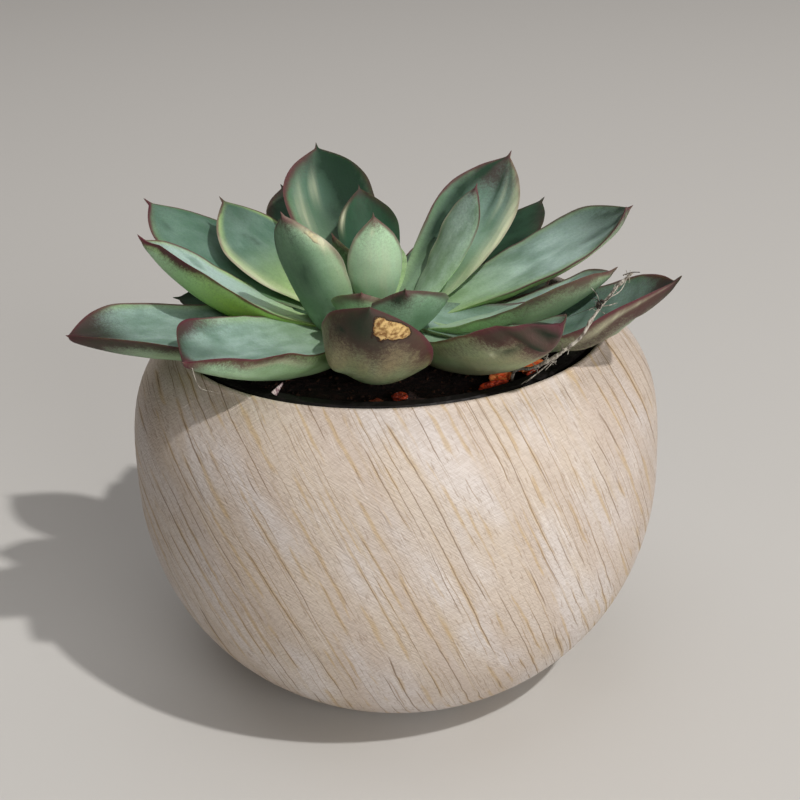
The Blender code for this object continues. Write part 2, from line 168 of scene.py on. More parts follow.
def makePatchedFinish(name, look):
    # two tones in soft patches; cover: fineness, threshold from and to, and detail;
    # rough: least roughness and its rise in the patches; bump: strength and depth
    material, tree, shader = makeMaterial(name, look["shader"])
    times, plus = makeArithmetic(tree)
    place = stretched(tree, objectPlace(tree), look.get("stretch", (1, 1, 1)))
    mask = patches(tree, place, *look["cover"])
    colour = mixColour(tree, mask, *look["tones"])
    # painted shade: the colour darkens towards a dark tone by the given share
    if "shadowShare" in look:
        colour = mixColour(tree, look["shadowShare"], colour, look["shadowTone"])
    tree.links.new(colour, shader.inputs["Base Color"])
    if "rough" in look:
        least, rise = look["rough"]
        tree.links.new(plus(least, times(mask, rise)), shader.inputs["Roughness"])
    if "bump" in look:
        addBump(tree, shader, mask, *look["bump"])
    return material


def addObject(name, data):
    made = bpy.data.objects.new(name, data)
    bpy.context.scene.collection.objects.link(made)
    return made


def addMesh(bm, name, material):
    mesh = bpy.data.meshes.new(name)
    bm.to_mesh(mesh)
    bm.free()
    mesh.materials.append(material)
    return addObject(name, mesh)


def finishPiece(bm, name, material, nodes=(), smooth=True):
    # from millimetres to metres, then the piece rides on the one body
    bmesh.ops.scale(bm, vec=(mm, mm, mm), verts=bm.verts)
    piece = addMesh(bm, name, material)
    if smooth:
        piece.data.shade_smooth()
    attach(piece, "root")
    if nodes:
        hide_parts(*nodes)
    print("made", name, len(piece.data.polygons))


def spinProfile(bm, profile, steps):
    # a profile of (radius, height) is turned about the pot's axis, where it starts and ends
    points = [bm.verts.new((radius, 0.0, height)) for radius, height in profile]
    edges = [bm.edges.new(pair) for pair in zip(points, points[1:])]
    bmesh.ops.spin(
        bm, geom=points + edges, cent=(0, 0, 0), axis=(0, 0, 1),
        angle=2 * math.pi, steps=steps, use_merge=True)
    bmesh.ops.remove_doubles(bm, verts=bm.verts, dist=0.001)
    bmesh.ops.recalc_face_normals(bm, faces=bm.faces)


# leaves

leafForm = {
    "thickness": 5.0,  # thickest that a leaf gets
    "thicknessToWidth": 0.36,
    "swell": 0.2,  # how much thicker the middle of the length is
    "edgeThinning": 0.25,
    "upperShare": 0.35,  # share of the thickness that lies above the leaf's middle
    "crossPower": 0.9,  # how full the cross-section is
    "rootSink": 2.0,  # how far the root goes into the core
    "sides": 56,
    "rings": 64,
    "firstRing": 0.02,
    "crowding": 1.35,  # how much closer the rings stand towards the tip
    "spikeLength": 6.0,
    "spikeHalf": 1.5,
    "spikeBlend": 1.8,
    "relief": 0.22,
    "reliefPitch": 0.2,
    "edgeRipple": 0.25,
    "edgePitch": 9.0,
    "fullEdge": 4.0,  # half width from which the bumps have their full height
    "axisSteps": 24,
}

# heading: 0 to the right and 90 to the back, and bend turns it on towards the tip
# rise: angle above the horizon at root and tip; turn: roll about the leaf's own line
# base: share of the width at the root; widest: share of the length with the full width
# bodyEnd, power: where the body closes and how bluntly; cup: how far its sides rise
# plump, tipThin: how thick the leaf is, and how much thinner towards its tip
# blush, bloom, lime, warm: how purple, blue-white, yellow-green and tan the skin is
# margin: width of the red edge; shade: even painted shade over the whole leaf, for leaves that lie in
# shadow
# bruise: painted shade of folds, hollows and cast shadows, with some real dark marks; stipple: purple
# stipple; pale: painted highlights and glints, with some real pale scrapes; scab: corky scar;
# all four are marks, each with its share of the length, place across from -1 to 1,
# both sizes and strength; bumps: the same with a height in mm
# sides: side of the outline, share of the length, size, change of width
leafDefaults = {
    "turn": 0.0, "bend": 0.0, "widest": 0.62, "power": 2.3, "cup": 0.15, "base": 0.42, "bodyEnd": 0.965,
    "plump": 1.0, "tipThin": 0.75, "blush": 0.3, "bloom": 0.5, "lime": 0.4, "warm": 0.0, "margin": 0.45,
    "paintedShade": 0.0, "sides": (), "bumps": (), "shadeAndDarkMarks": (), "stipple": (), "paleAndHighlight": (), "scab": (),
}

lowLeaves = {
    "farLeft": dict(
        heading=197, rise=(-3, 18), length=63, width=25, root=(-4.5, -4, 79.6), turn=1, bend=5,
        widest=0.68, power=3.0, cup=0.35, bodyEnd=0.99, plump=1.25, tipThin=0.6, blush=0.7, bloom=0.8,
        lime=0.9, warm=0.35,
        bumps=((0.35, 1.0, 0.3, 0.45, -4.5),),
        shadeAndDarkMarks=((0.76, 0.9, 0.24, 0.2, 0.5), (0.9, 0.0, 0.12, 0.9, 0.6)),
        stipple=((0.99, 0.25, 0.13, 1.2, 1.5), (0.84, 1.0, 0.28, 0.16, 1.3))),
    "frontLeft": dict(
        heading=224, rise=(-5, 24), length=50, width=25.5, root=(-4, -6.5, 79.5), turn=-3, bend=1,
        widest=0.66, power=4.0, cup=0.45, bodyEnd=0.99, plump=1.3, blush=0.25, bloom=0.8, lime=0.6,
        warm=0.2, margin=0.3,
        bumps=((0.86, 0.8, 0.05, 0.3, -0.7), (0.7, 0.8, 0.06, 0.3, 0.6), (0.55, 0.8, 0.06, 0.3, -0.5)),
        shadeAndDarkMarks=((0.93, -0.6, 0.08, 0.35, 0.7), (0.83, -0.25, 0.08, 0.25, 0.5)),
        stipple=((0.88, -1.0, 0.2, 0.24, 1.7), (0.99, -0.3, 0.05, 1.0, 0.9),
                 (0.8, 0.95, 0.26, 0.14, 1.2)),
        paleAndHighlight=((0.72, 0.86, 0.16, 0.05, 0.4),)),
    "frontCurled": dict(
        heading=265, rise=(-26, 74), length=50, width=22.5, root=(-4.5, -9.5, 82.4), turn=-25, bend=19,
        widest=0.66, power=2.4, cup=0.45, base=0.52, bodyEnd=0.995, blush=0.9, bloom=0.3, lime=0.5,
        warm=1.0, margin=0.35,
        sides=((-1, 0.54, 0.14, -0.24), (-1, 0.77, 0.1, -0.12)),
        bumps=((0.6, -0.72, 0.16, 0.32, -3.0),),
        shadeAndDarkMarks=((0.98, 0.0, 0.17, 1.2, 0.95), (0.82, -0.67, 0.03, 0.05, 0.6),
                (0.85, -0.6, 0.012, 0.09, 0.6)),
        stipple=((1.04, 0.0, 0.37, 1.7, 1.2), (0.8, 0.97, 0.12, 0.2, 0.6)),
        scab=((0.915, 0.5, 0.06, 0.4, 1.1), (0.88, 0.78, 0.03, 0.14, 0.7))),
    "frontRight": dict(
        heading=311, rise=(-10, 44), length=50, width=22, root=(1.5, -10, 79.8), turn=-6, bend=-6,
        widest=0.63, power=3.2, cup=0.45, bodyEnd=0.995, plump=1.25, tipThin=0.3, blush=0.9, bloom=0.8,
        lime=0.5, warm=0.85, margin=0.34,
        sides=((1, 0.93, 0.08, -0.35),),
        bumps=((0.78, -0.56, 0.06, 0.08, 0.8), (0.94, -0.45, 0.02, 0.5, 0.9),
               (0.9, -0.4, 0.02, 0.4, -0.9), (0.86, -0.7, 0.02, 0.3, 0.6)),
        shadeAndDarkMarks=((0.76, -0.58, 0.03, 0.05, 0.8), (0.8, -0.52, 0.03, 0.05, 0.8),
                (0.85, -0.52, 0.03, 0.05, 0.6), (0.955, -0.4, 0.03, 0.6, 0.85),
                (0.895, -0.5, 0.016, 0.35, 0.85), (0.86, -0.85, 0.08, 0.12, 0.4)),
        stipple=((0.98, -0.3, 0.18, 1.4, 0.9), (0.75, -0.97, 0.28, 0.3, 0.4)),
        paleAndHighlight=((0.73, -0.63, 0.01, 0.05, 0.7),)),
    "farRight": dict(
        heading=336, rise=(-17, 48), length=63, width=23, root=(4, -5.5, 81.6), turn=5, bend=-12,
        widest=0.67, power=2.4, cup=0.36, blush=1.0, bloom=0.55, lime=0.1, warm=0.9, margin=0.6,
        bumps=((0.8, 0.2, 0.02, 0.6, 0.4), (0.72, -0.1, 0.02, 0.5, -0.4), (0.66, -0.7, 0.1, 0.3, -1.8)),
        shadeAndDarkMarks=((0.85, 0.3, 0.2, 0.6, 0.3), (0.6, 0.1, 0.015, 0.4, 0.4), (0.68, 0.0, 0.012, 0.4, 0.4),
                (0.7, -0.75, 0.1, 0.12, 0.35), (1.0, 0.0, 0.08, 1.2, 0.8)),
        stipple=((0.85, -0.8, 0.22, 0.4, 0.8), (0.97, 0.0, 0.12, 1.5, 0.7), (0.7, -0.6, 0.3, 0.4, 0.4),
                 (0.7, 0.5, 0.3, 0.6, 0.3)),
        paleAndHighlight=((0.78, -0.86, 0.14, 0.05, 0.5),)),
}

middleLeaves = {
    "left": dict(
        heading=185, rise=(2, 52), length=52, width=19, root=(-5.5, -3, 79), turn=2, bend=-4,
        widest=0.7, power=2.6, cup=0.25, plump=1.25, blush=0.35, bloom=1.9, lime=1.7,
        bumps=((0.72, 1.0, 0.3, 0.5, 2.6),),
        stipple=((0.88, 0.97, 0.15, 0.18, 1.5), (0.99, 0.0, 0.05, 1.0, 0.8))),
    "backLeft": dict(
        heading=155, rise=(9, 29), length=60, width=22, root=(-4.5, 0, 80.5), bend=-11,
        widest=0.64, power=2.4, cup=0.0, blush=0.35, bloom=0.25, margin=0.5,
        shadeAndDarkMarks=((0.83, 0.47, 0.03, 0.07, 0.6),), stipple=((0.95, 0.9, 0.08, 0.3, 0.7),)),
    "innerLeft": dict(
        heading=148, rise=(13, 41), length=45, width=20, root=(-4, -1, 81), turn=-1, bend=-9,
        widest=0.61, cup=0.0, blush=0.25, bloom=0.42, lime=2.0,
        sides=((1, 0.6, 0.35, 0.11),),
        shadeAndDarkMarks=((0.735, 0.3, 0.016, 0.06, 0.5), (0.7, 0.25, 0.016, 0.06, 0.6),
                (0.665, 0.23, 0.02, 0.06, 0.5), (0.92, 0.0, 0.14, 1.0, 0.5)),
        paleAndHighlight=((0.5, 0.95, 0.3, 0.12, 0.55),)),
    "behindCrown": dict(
        heading=120, rise=(19, 20), length=50, width=19, root=(-2, 3, 80.5), turn=-1, bend=-4,
        widest=0.63, power=2.4, cup=0.1, blush=1.0, bloom=0.0, margin=1.0, paintedShade=0.6),
    "backRight": dict(
        heading=44, rise=(4, 25), length=50.5, width=16.5, root=(3, 1.5, 81), turn=-7, bend=7,
        widest=0.61, power=2.2, cup=0.1, blush=0.7, bloom=0.0, margin=0.8, paintedShade=0.82,
        stipple=((0.85, -0.8, 0.2, 0.3, 0.9),)),
    "right": dict(
        heading=17, rise=(9, 29), length=54, width=20, root=(4.5, -1.5, 80), turn=2, bend=2,
        widest=0.72, power=3.0, cup=0.2, bodyEnd=0.98, blush=0.4, bloom=0.95, lime=0.8, warm=0.4,
        margin=0.5,
        sides=((-1, 0.87, 0.11, 0.3), (-1, 0.6, 0.2, 0.12)), bumps=((0.88, -1.0, 0.12, 0.4, 3.2),),
        shadeAndDarkMarks=((0.96, 0.2, 0.2, 0.9, 0.9), (0.7, 0.9, 0.25, 0.3, 0.35), (0.8, -0.3, 0.12, 0.12, 0.5)),
        stipple=((0.9, -0.95, 0.14, 0.16, 1.2), (0.96, 0.0, 0.08, 1.0, 0.6))),
    "nearRight": dict(
        heading=344, rise=(-1, 40), length=47, width=21.5, root=(3, -6, 79), turn=-9, bend=4,
        widest=0.68, power=2.6, cup=0.25, blush=0.5, bloom=1.45, lime=0.65, warm=0.2, margin=0.6,
        bumps=((0.75, -1.0, 0.3, 0.5, 1.2),), shadeAndDarkMarks=((0.9, 0.3, 0.1, 0.8, 0.5),),
        stipple=((0.82, -0.97, 0.3, 0.26, 1.1),), paleAndHighlight=((0.7, -0.6, 0.3, 0.4, 0.32),)),
}

upperLeaves = {
    "crown": dict(
        heading=114, rise=(26, 47), length=44, width=19, root=(-4.5, 1.5, 83), turn=-6, bend=-17,
        cup=0.4, blush=0.7, bloom=0.2, margin=0.85,
        shadeAndDarkMarks=((0.68, -0.4, 0.36, 0.45, 1.25), (0.72, -0.85, 0.3, 0.3, 0.5),
                (0.94, 0.0, 0.15, 1.0, 0.6), (0.45, 0.1, 0.14, 0.3, 0.3)),
        paleAndHighlight=((0.58, 0.64, 0.16, 0.12, 0.4), (0.72, 0.27, 0.1, 0.08, 0.35))),
    "leftShield": dict(
        heading=231, rise=(67, 67), length=33, width=16, root=(-11.5, -8.5, 78.5), turn=9, bend=-11,
        widest=0.61, power=2.1, cup=0.25, bloom=0.65, lime=0.15,
        shadeAndDarkMarks=((0.55, -1.0, 0.5, 0.35, 0.8), (0.6, -0.3, 0.4, 0.5, 0.5), (0.62, 0.3, 0.35, 0.35, 0.65)),
        stipple=((0.97, 0.0, 0.08, 1.0, 0.5),),
        paleAndHighlight=((0.79, 0.9, 0.08, 0.12, 0.95), (0.5, 0.9, 0.35, 0.22, 0.3)),
        scab=((0.8, 0.9, 0.075, 0.13, 0.85),)),
    "tallRight": dict(
        heading=46, rise=(23, 51), length=44, width=18, root=(4, 0, 81.5), turn=11, bend=2,
        widest=0.59, power=2.2, cup=0.25, base=0.46, blush=0.6, bloom=0.42, margin=0.5,
        bumps=((0.6, 1.0, 0.3, 0.35, 1.6),),
        shadeAndDarkMarks=((0.62, 0.66, 0.4, 0.18, 1.2), (0.9, 0.2, 0.18, 1.0, 0.45),
                (0.74, -0.22, 0.14, 0.1, 0.7), (0.8, -0.6, 0.14, 0.1, 0.4)),
        stipple=((0.88, 0.4, 0.16, 0.9, 0.9),),
        paleAndHighlight=((0.72, -0.42, 0.12, 0.06, 0.2), (0.5, -0.9, 0.35, 0.2, 0.7))),
    "innerRight": dict(
        heading=26, rise=(45, 69), length=28, width=11.5, root=(5.5, -1.5, 83), turn=2, bend=3,
        widest=0.61, power=2.2, cup=0.05, bloom=1.3, lime=0.45, margin=0.25,
        stipple=((0.95, 0.0, 0.06, 1.0, 0.5),), paleAndHighlight=((0.55, 0.95, 0.3, 0.08, 0.5),)),
    "scaleRight": dict(
        heading=277, rise=(16, 57), length=26, width=17.5, root=(1.5, -7, 80.5), turn=8, bend=-9,
        widest=0.61, power=2.2, blush=0.4, bloom=0.9, lime=0.1, margin=0.6, paintedShade=0.26,
        shadeAndDarkMarks=((0.92, -0.45, 0.08, 0.4, 0.6),), stipple=((0.95, -0.3, 0.1, 0.7, 0.7),)),
    "scaleLeft": dict(
        heading=258, rise=(20, 56), length=23, width=15, root=(-2, -7.5, 80.5), turn=-6, bend=1,
        bloom=1.1, margin=1.0),
}

heartLeaves = {
    "centre": dict(
        heading=269, rise=(46, 77), length=28, width=10.5, root=(-2.5, -6, 84), turn=10, bend=2,
        widest=0.56, power=2.0, blush=0.2, bloom=1.7, lime=0.15, margin=0.25,
        stipple=((0.95, 0.2, 0.08, 0.8, 0.5),),
        paleAndHighlight=((0.86, -0.2, 0.03, 0.12, 0.5), (0.5, -0.97, 0.35, 0.1, 0.35), (0.4, 0.0, 0.4, 0.9, 0.45))),
    "darkInner": dict(
        heading=102, rise=(51, 67), length=24, width=12.5, root=(-3, 0.5, 84.5), bend=1,
        widest=0.57, power=1.9, cup=0.6, blush=0.4, bloom=0.0, lime=0.0, margin=0.7, paintedShade=0.6,
        paleAndHighlight=((0.68, 0.85, 0.1, 0.07, 0.7),)),
    "smallTip": dict(
        heading=207, rise=(61, 67), length=21, width=9, root=(-3, -3, 82), bend=-1,
        cup=0.2, blush=0.4, bloom=0.4, margin=0.4),
    "youngRight": dict(
        heading=15, rise=(62, 80), length=11, width=7.5, root=(-2.5, -2.5, 83),
        lime=0.6),
    "youngBack": dict(heading=80, rise=(46, 70), length=15, width=9.5, root=(-2, -1, 83), lime=0.6),
    "youngLeft": dict(heading=145, rise=(54, 76), length=13, width=8.5, root=(-3.5, -2, 83), lime=0.6),
}

backLeaves = {
    "back": dict(heading=71, rise=(0, 4), length=50, width=16, root=(2, 3, 80), blush=0.5),
    "backInner": dict(heading=107, rise=(5, 12), length=48, width=17, root=(0, 3, 80.5), blush=0.5),
    "backLow": dict(heading=58, rise=(2, 12), length=54, width=19, root=(3, 2, 80.5), blush=0.5),
    "backFarLeft": dict(heading=130, rise=(0, 6), length=52, width=18, root=(-3, 2, 80.5), blush=0.5),
    "leftShaded": dict(
        heading=167, rise=(4, 2), length=44, width=20, root=(-4, -0.5, 80.5),
        widest=0.6, power=4.0, blush=0.7, bloom=0.0, paintedShade=0.8),
    "rightLow": dict(heading=31, rise=(0, 2), length=38, width=17, root=(4, 1, 79.5), blush=0.5),
}


def leafWidth(leaf, along, across):
    # half the width at a share of the length: a swelling body that is drawn out into a short point
    if along <= leaf["widest"]:
        share = leaf["base"] + (1 - leaf["base"]) * math.sin(0.5 * math.pi * along / leaf["widest"])
    else:
        closing = min(1.0, (along - leaf["widest"]) / (leaf["bodyEnd"] - leaf["widest"]))
        share = 1 - closing ** leaf["power"]
    body = 0.5 * leaf["width"] * share
    for side, place, size, change in leaf["sides"]:
        if across * side > 0:
            body *= 1 + change * math.exp(-((along - place) / size) ** 2)
    form = leafForm
    point = form["spikeHalf"] * min(1.0, leaf["length"] * (1 - along) / form["spikeLength"])
    blend = form["spikeBlend"]
    return (body ** blend + point ** blend) ** (1 / blend)


def leafThickness(leaf, along, half):
    form = leafForm
    full = leaf["plump"] * min(form["thickness"], form["thicknessToWidth"] * leaf["width"])
    swell = 1 - form["swell"] + form["swell"] * math.sin(math.pi * along)
    full *= swell * (1 - leaf["tipThin"] * along ** 3)
    return full * half / (half + form["edgeThinning"] * full)


def leafDirection(leaf, along):
    heading = math.radians(leaf["heading"] + leaf["bend"] * along ** 1.5)
    rise = math.radians(leaf["rise"][0] + (leaf["rise"][1] - leaf["rise"][0]) * along)
    flat = math.cos(rise)
    return Vector((flat * math.cos(heading), flat * math.sin(heading), math.sin(rise)))


def leafFrame(leaf, along):
    point = Vector(leaf["root"])
    steps = leafForm["axisSteps"]
    for i in range(steps):
        point += leafDirection(leaf, (i + 0.5) * along / steps) * leaf["length"] * along / steps
    forward = leafDirection(leaf, along)
    heading = math.radians(leaf["heading"] + leaf["bend"] * along ** 1.5)
    side = Vector((-math.sin(heading), math.cos(heading), 0.0))
    roll = Matrix.Rotation(math.radians(leaf["turn"]), 3, forward)
    return point, roll @ side, roll @ forward.cross(side)


def ringShare(ring):
    share = (ring - 1) / leafForm["rings"]
    first = leafForm["firstRing"]
    return first + (1 - first) * (1 - (1 - share) ** leafForm["crowding"])


def spots(values, along, across):
    # soft spots that add up
    total = 0.0
    for alongPlace, acrossPlace, alongSize, acrossSize, strength in values:
        reach = ((along - alongPlace) / alongSize) ** 2 + ((across - acrossPlace) / acrossSize) ** 2
        total += strength * math.exp(-reach)
    return total


def growLeaf(bm, layers, leaf, seed):
    # a ball whose poles become root and tip, and whose rings become cross-sections
    form = leafForm
    rings = form["rings"]
    ball = bmesh.ops.create_uvsphere(
        bm, u_segments=form["sides"], v_segments=rings + 1, radius=1.0)["verts"]
    frames = {}
    for vertex in ball:
        polar = math.acos(max(-1.0, min(1.0, -vertex.co.z)))
        ring = round(polar * (rings + 1) / math.pi)
        along = 0.0 if ring == 0 else 1.0 if ring == rings + 1 else ringShare(ring)
        if ring not in frames:
            frames[ring] = leafFrame(leaf, along)
        point, side, up = frames[ring]
        across = 0.0 if ring in (0, rings + 1) else max(-1.0, min(1.0, vertex.co.x / math.sin(polar)))
        under = 0.5 if abs(vertex.co.y) < 1e-5 else 0.0 if vertex.co.y > 0 else 1.0
        half = leafWidth(leaf, along, across)
        flatPlace = Vector((across * half, along * leaf["length"], seed * 31.0))
        if ring == 0:
            vertex.co = point - leafDirection(leaf, 0.0) * form["rootSink"]
        elif ring == rings + 1:
            vertex.co = point
        else:
            belly = leafThickness(leaf, along, half) * (1 - across ** 2) ** form["crossPower"]
            lift = (form["upperShare"] - under) * belly if under != 0.5 else 0.0
            relief = form["relief"] * noise.noise(flatPlace * form["reliefPitch"]) * (1 - along ** 4)
            relief += spots(leaf["bumps"], along, across) * min(1.0, half / form["fullEdge"])
            ripple = noise.noise(Vector((along * form["edgePitch"], seed * 3.0 + across, 0.0)))
            edge = form["edgeRipple"] * ripple * across ** 2
            lift += leaf["cup"] * half * across ** 2 + relief + edge
            vertex.co = point + side * half * across + up * lift
        marks = [spots(leaf[kind], along, across) for kind in ("shadeAndDarkMarks", "scab", "paleAndHighlight", "stipple")]
        # the leaf's even painted shade is added to the first mark channel
        marks[0] += leaf["paintedShade"]
        vertex[layers["leafMap"]] = flatPlace
        edgeGap = (1 - abs(across)) * half
        rest = leaf["length"] * (1 - along)
        vertex[layers["leafPlace"]] = (edgeGap, rest, leaf["length"] * along, under)
        vertex[layers["leafTone"]] = (leaf["blush"], leaf["bloom"], leaf["lime"], leaf["margin"])
        vertex[layers["leafMarks"]] = tuple(marks)
        vertex[layers["leafWarm"]] = (leaf["warm"], leaf["warm"], leaf["warm"], 1.0)


# patches: stretch along the leaf, fineness, cover from and to, detail
# depths: millimetres from the edge, the tip or the root, where a tint begins and where it is full
leafLook = {
    "colours": {
        "deep": (50, 92, 66), "bloom": (168, 194, 186), "lime": (166, 198, 124),
        "limeUnder": (152, 194, 78), "under": (94, 134, 104), "underPale": (174, 210, 182),
        "warm": (150, 136, 106), "blush": (76, 54, 56), "underBlush": (80, 54, 50),
        # bruise: dark green of the painted shade, also used for real dark marks and specks; pale: tint of
        # painted highlights and pale scrapes
        "edge": (86, 34, 48), "shadeAndDarkMarks": (26, 50, 35), "scabEdge": (44, 28, 20), "scab": (196, 166, 112),
        "scabDeep": (112, 78, 42), "paleAndHighlight": (216, 218, 186),
    },
    "patches": {
        "broad": (0.5, 0.09, 0.3, 0.7, 2.0),
        "cloud": (0.55, 0.24, 0.32, 0.68, 4.0),
        "veins": (0.07, 0.8, 0.4, 0.64, 2.0),
        "grainy": (1.0, 1.8, 0.35, 0.65, 3.0),
        "specks": (1.0, 5.0, 0.42, 0.66, 1.0),
        "cork": (1.0, 1.4, 0.38, 0.66, 4.0),
    },
    "depths": {
        "inner": (0.5, 4.0), "rim": (2.6, 0.4), "root": (32.0, 6.0), "underRoot": (58.0, 14.0),
        "tipFlush": (15.0, 0.0), "sideFlush": (4.5, 0.0),
        "edgeStart": (8.0, 24.0), "edgeWiden": (26.0, 3.0), "edgeTip": (3.6, 0.8),
    },
    "roughness": 0.46, "bump": (0.25, 0.2),
    "shader": {
        "Subsurface Weight": 0.12, "Subsurface Scale": 0.004, "Subsurface Radius": (0.6, 1.0, 0.35),
        "IOR": 1.42, "Specular IOR Level": 0.3,
    },
}


def makeLeafSkin():
    material, tree, shader = makeMaterial("leafSkin", leafLook["shader"])
    times, plus = makeArithmetic(tree)
    colours = {name: toLinear(*tone) for name, tone in leafLook["colours"].items()}

    def tinted(base, mask, name):
        return mixColour(tree, mask, base, colours[name])

    def within(distance, name):
        return smoothMask(tree, distance, *leafLook["depths"][name])

    leafMap = attribute(tree, "leafMap").outputs["Vector"]
    placeNode = attribute(tree, "leafPlace")
    edgeGap, tipGap, rootGap = channels(tree, placeNode.outputs["Color"])[:3]
    under = smoothMask(tree, placeNode.outputs["Alpha"], 0.3, 0.7)
    toneNode = attribute(tree, "leafTone")
    blush, bloom, lime = channels(tree, toneNode.outputs["Color"])[:3]
    margin = toneNode.outputs["Alpha"]
    # marks: painted shade with dark marks, the scab, painted highlights with pale scrapes, and stipple
    markNode = attribute(tree, "leafMarks")
    shadeAndDarkMarks, scab, paleAndHighlight = channels(tree, markNode.outputs["Color"])[:3]
    stipple = markNode.outputs["Alpha"]
    warm = attribute(tree, "leafWarm").outputs["Fac"]

    broad, cloud, veins, grainy, specks, cork = (
        patches(tree, stretched(tree, leafMap, (1.0, along, 1.0)), *cover)
        for along, *cover in leafLook["patches"].values())
    speckShift = plus(times(plus(specks, -0.5), 0.2), times(plus(grainy, -0.5), 0.22))

    # upper face: deep green under a blue-white bloom, yellower towards the root
    bloomShare = plus(0.12, times(broad, 0.5), times(cloud, 0.45), times(within(edgeGap, "inner"), 0.12))
    upper = tinted(colours["deep"], times(bloom, bloomShare, clamp=True), "bloom")
    upper = tinted(upper, times(within(rootGap, "root"), times(lime, 0.62), clamp=True), "lime")
    rimMask = times(within(edgeGap, "rim"), lime, plus(0.15, times(broad, 0.4)))
    upper = tinted(upper, rimMask, "lime")
    upper = tinted(upper, times(veins, 0.08), "deep")
    upper = tinted(upper, times(grainy, 0.1), "deep")

    # lower face: greener and paler in streaks, tan on the old low leaves
    lower = tinted(colours["under"], times(plus(cloud, bloom), 0.55), "underPale")
    lower = tinted(lower, times(within(rootGap, "underRoot"), lime, 0.8), "limeUnder")
    lower = tinted(lower, rimMask, "lime")
    lower = tinted(lower, times(warm, plus(0.35, times(broad, 0.6))), "warm")
    lower = tinted(lower, times(veins, 0.08), "under")
    lower = tinted(lower, times(grainy, 0.1), "under")

    # purple flush from the tip and the margins, in fine stipple where it fades
    flush = plus(within(tipGap, "tipFlush"), times(within(edgeGap, "sideFlush"), 0.4))
    flush = times(flush, plus(0.5, times(cloud, 0.8)), blush)
    grains = times(speckShift, plus(1.0, times(stipple, 0.4, clamp=True)))
    flush = plus(flush, times(stipple, plus(0.78, times(cloud, 0.28))), grains)
    upper = tinted(upper, smoothMask(tree, flush, 0.0, 1.4), "blush")
    lower = tinted(lower, smoothMask(tree, flush, 0.0, 1.2), "underBlush")
    skin = mixColour(tree, under, upper, lower)

    # thin dark red line along the edge, wider towards the tip
    widen = plus(0.5, times(within(tipGap, "edgeWiden"), 0.8), times(cloud, 0.7))
    edgeShare = plus(mathNode(tree, "DIVIDE", edgeGap, plus(times(margin, widen), 0.02)), speckShift)
    edgeMask = times(smoothMask(tree, edgeShare, 1.5, 0.3), within(rootGap, "edgeStart"))
    edgeMask = mathNode(tree, "MAXIMUM", edgeMask, within(tipGap, "edgeTip"))
    skin = tinted(skin, times(edgeMask, 0.88), "edge")

    # painted shade of folds, hollows and cast shadows with some real dark marks, the corky scab, and pale
    # scrapes with painted highlights
    skin = tinted(skin, times(shadeAndDarkMarks, plus(0.75, times(cloud, 0.4)), clamp=True), "shadeAndDarkMarks")
    scabEdge = plus(scab, times(plus(cloud, -0.5), 0.3), times(plus(cork, -0.5), 0.12))
    skin = tinted(skin, smoothMask(tree, scabEdge, 0.36, 0.44), "scabEdge")
    scabTone = tinted(colours["scab"], cork, "scabDeep")
    skin = mixColour(tree, smoothMask(tree, scabEdge, 0.5, 0.58), skin, scabTone)
    # painted highlights and glints, with some real pale scrapes, laid over the skin
    skin = tinted(skin, times(paleAndHighlight, plus(0.7, times(veins, 0.5)), clamp=True), "paleAndHighlight")
    skin = tinted(skin, times(specks, 0.07), "shadeAndDarkMarks")
    tree.links.new(skin, shader.inputs["Base Color"])

    scabFace = smoothMask(tree, scabEdge, 0.4, 0.55)
    rough = plus(leafLook["roughness"], times(cloud, 0.12), times(shadeAndDarkMarks, 0.2), times(scabFace, 0.2))
    tree.links.new(rough, shader.inputs["Roughness"])
    height = plus(times(veins, 0.25), times(grainy, 0.3), times(specks, 0.12), times(scabFace, cork))
    addBump(tree, shader, height, *leafLook["bump"])
    print("leaf skin ready")
    return material


leafSkin = makeLeafSkin()


def makeLeaves(name, leaves, firstSeed):
    bm = bmesh.new()
    layers = {"leafMap": bm.verts.layers.float_vector.new("leafMap")}
    for layer in ("leafPlace", "leafTone", "leafMarks", "leafWarm"):
        layers[layer] = bm.verts.layers.float_color.new(layer)
    for i, own in enumerate(leaves.values()):
        growLeaf(bm, layers, {**leafDefaults, **own}, firstSeed + i)
    finishPiece(bm, name, leafSkin, ["rosette"])


# balls: centre, radius and half height
rosetteCore = {
    "balls": (((-1.0, -4.0, 79.6), 12.0, 3.6), ((-2.0, -3.5, 82.0), 4.0, 3.2)),
    "stemRadius": 4.8, "stemTaper": 0.5, "stemSpan": (62.3, 79.6), "stemSides": 32,
    "tones": (toLinear(70, 96, 62), toLinear(96, 108, 68)),
    "cover": (0.5, 0.4, 0.65, 3.0), "bump": (0.4, 0.4), "shader": {"Roughness": 0.6},
}


def makeCore():
    values = rosetteCore
    bm = bmesh.new()
    for centre, radius, half in values["balls"]:
        ball = bmesh.ops.create_uvsphere(bm, u_segments=48, v_segments=24, radius=1.0)["verts"]
        bmesh.ops.scale(bm, vec=(radius, radius, half), verts=ball)
        bmesh.ops.translate(bm, vec=centre, verts=ball)
    foot, top = values["stemSpan"]
    bmesh.ops.create_cone(
        bm, cap_ends=True, segments=values["stemSides"], depth=top - foot,
        radius1=values["stemRadius"] - values["stemTaper"], radius2=values["stemRadius"],
        matrix=Matrix.Translation((0, 0, foot + (top - foot) / 2)))
    material = makePatchedFinish("coreSkin", values)
    finishPiece(bm, "rosetteCore", material, ["rosette"])


makeLeaves("lowLeaves", lowLeaves, 1)
makeLeaves("middleLeaves", middleLeaves, 11)
makeLeaves("upperLeaves", upperLeaves, 21)
makeLeaves("heartLeaves", heartLeaves, 31)
makeLeaves("backLeaves", backLeaves, 41)
makeCore()


# outer pot

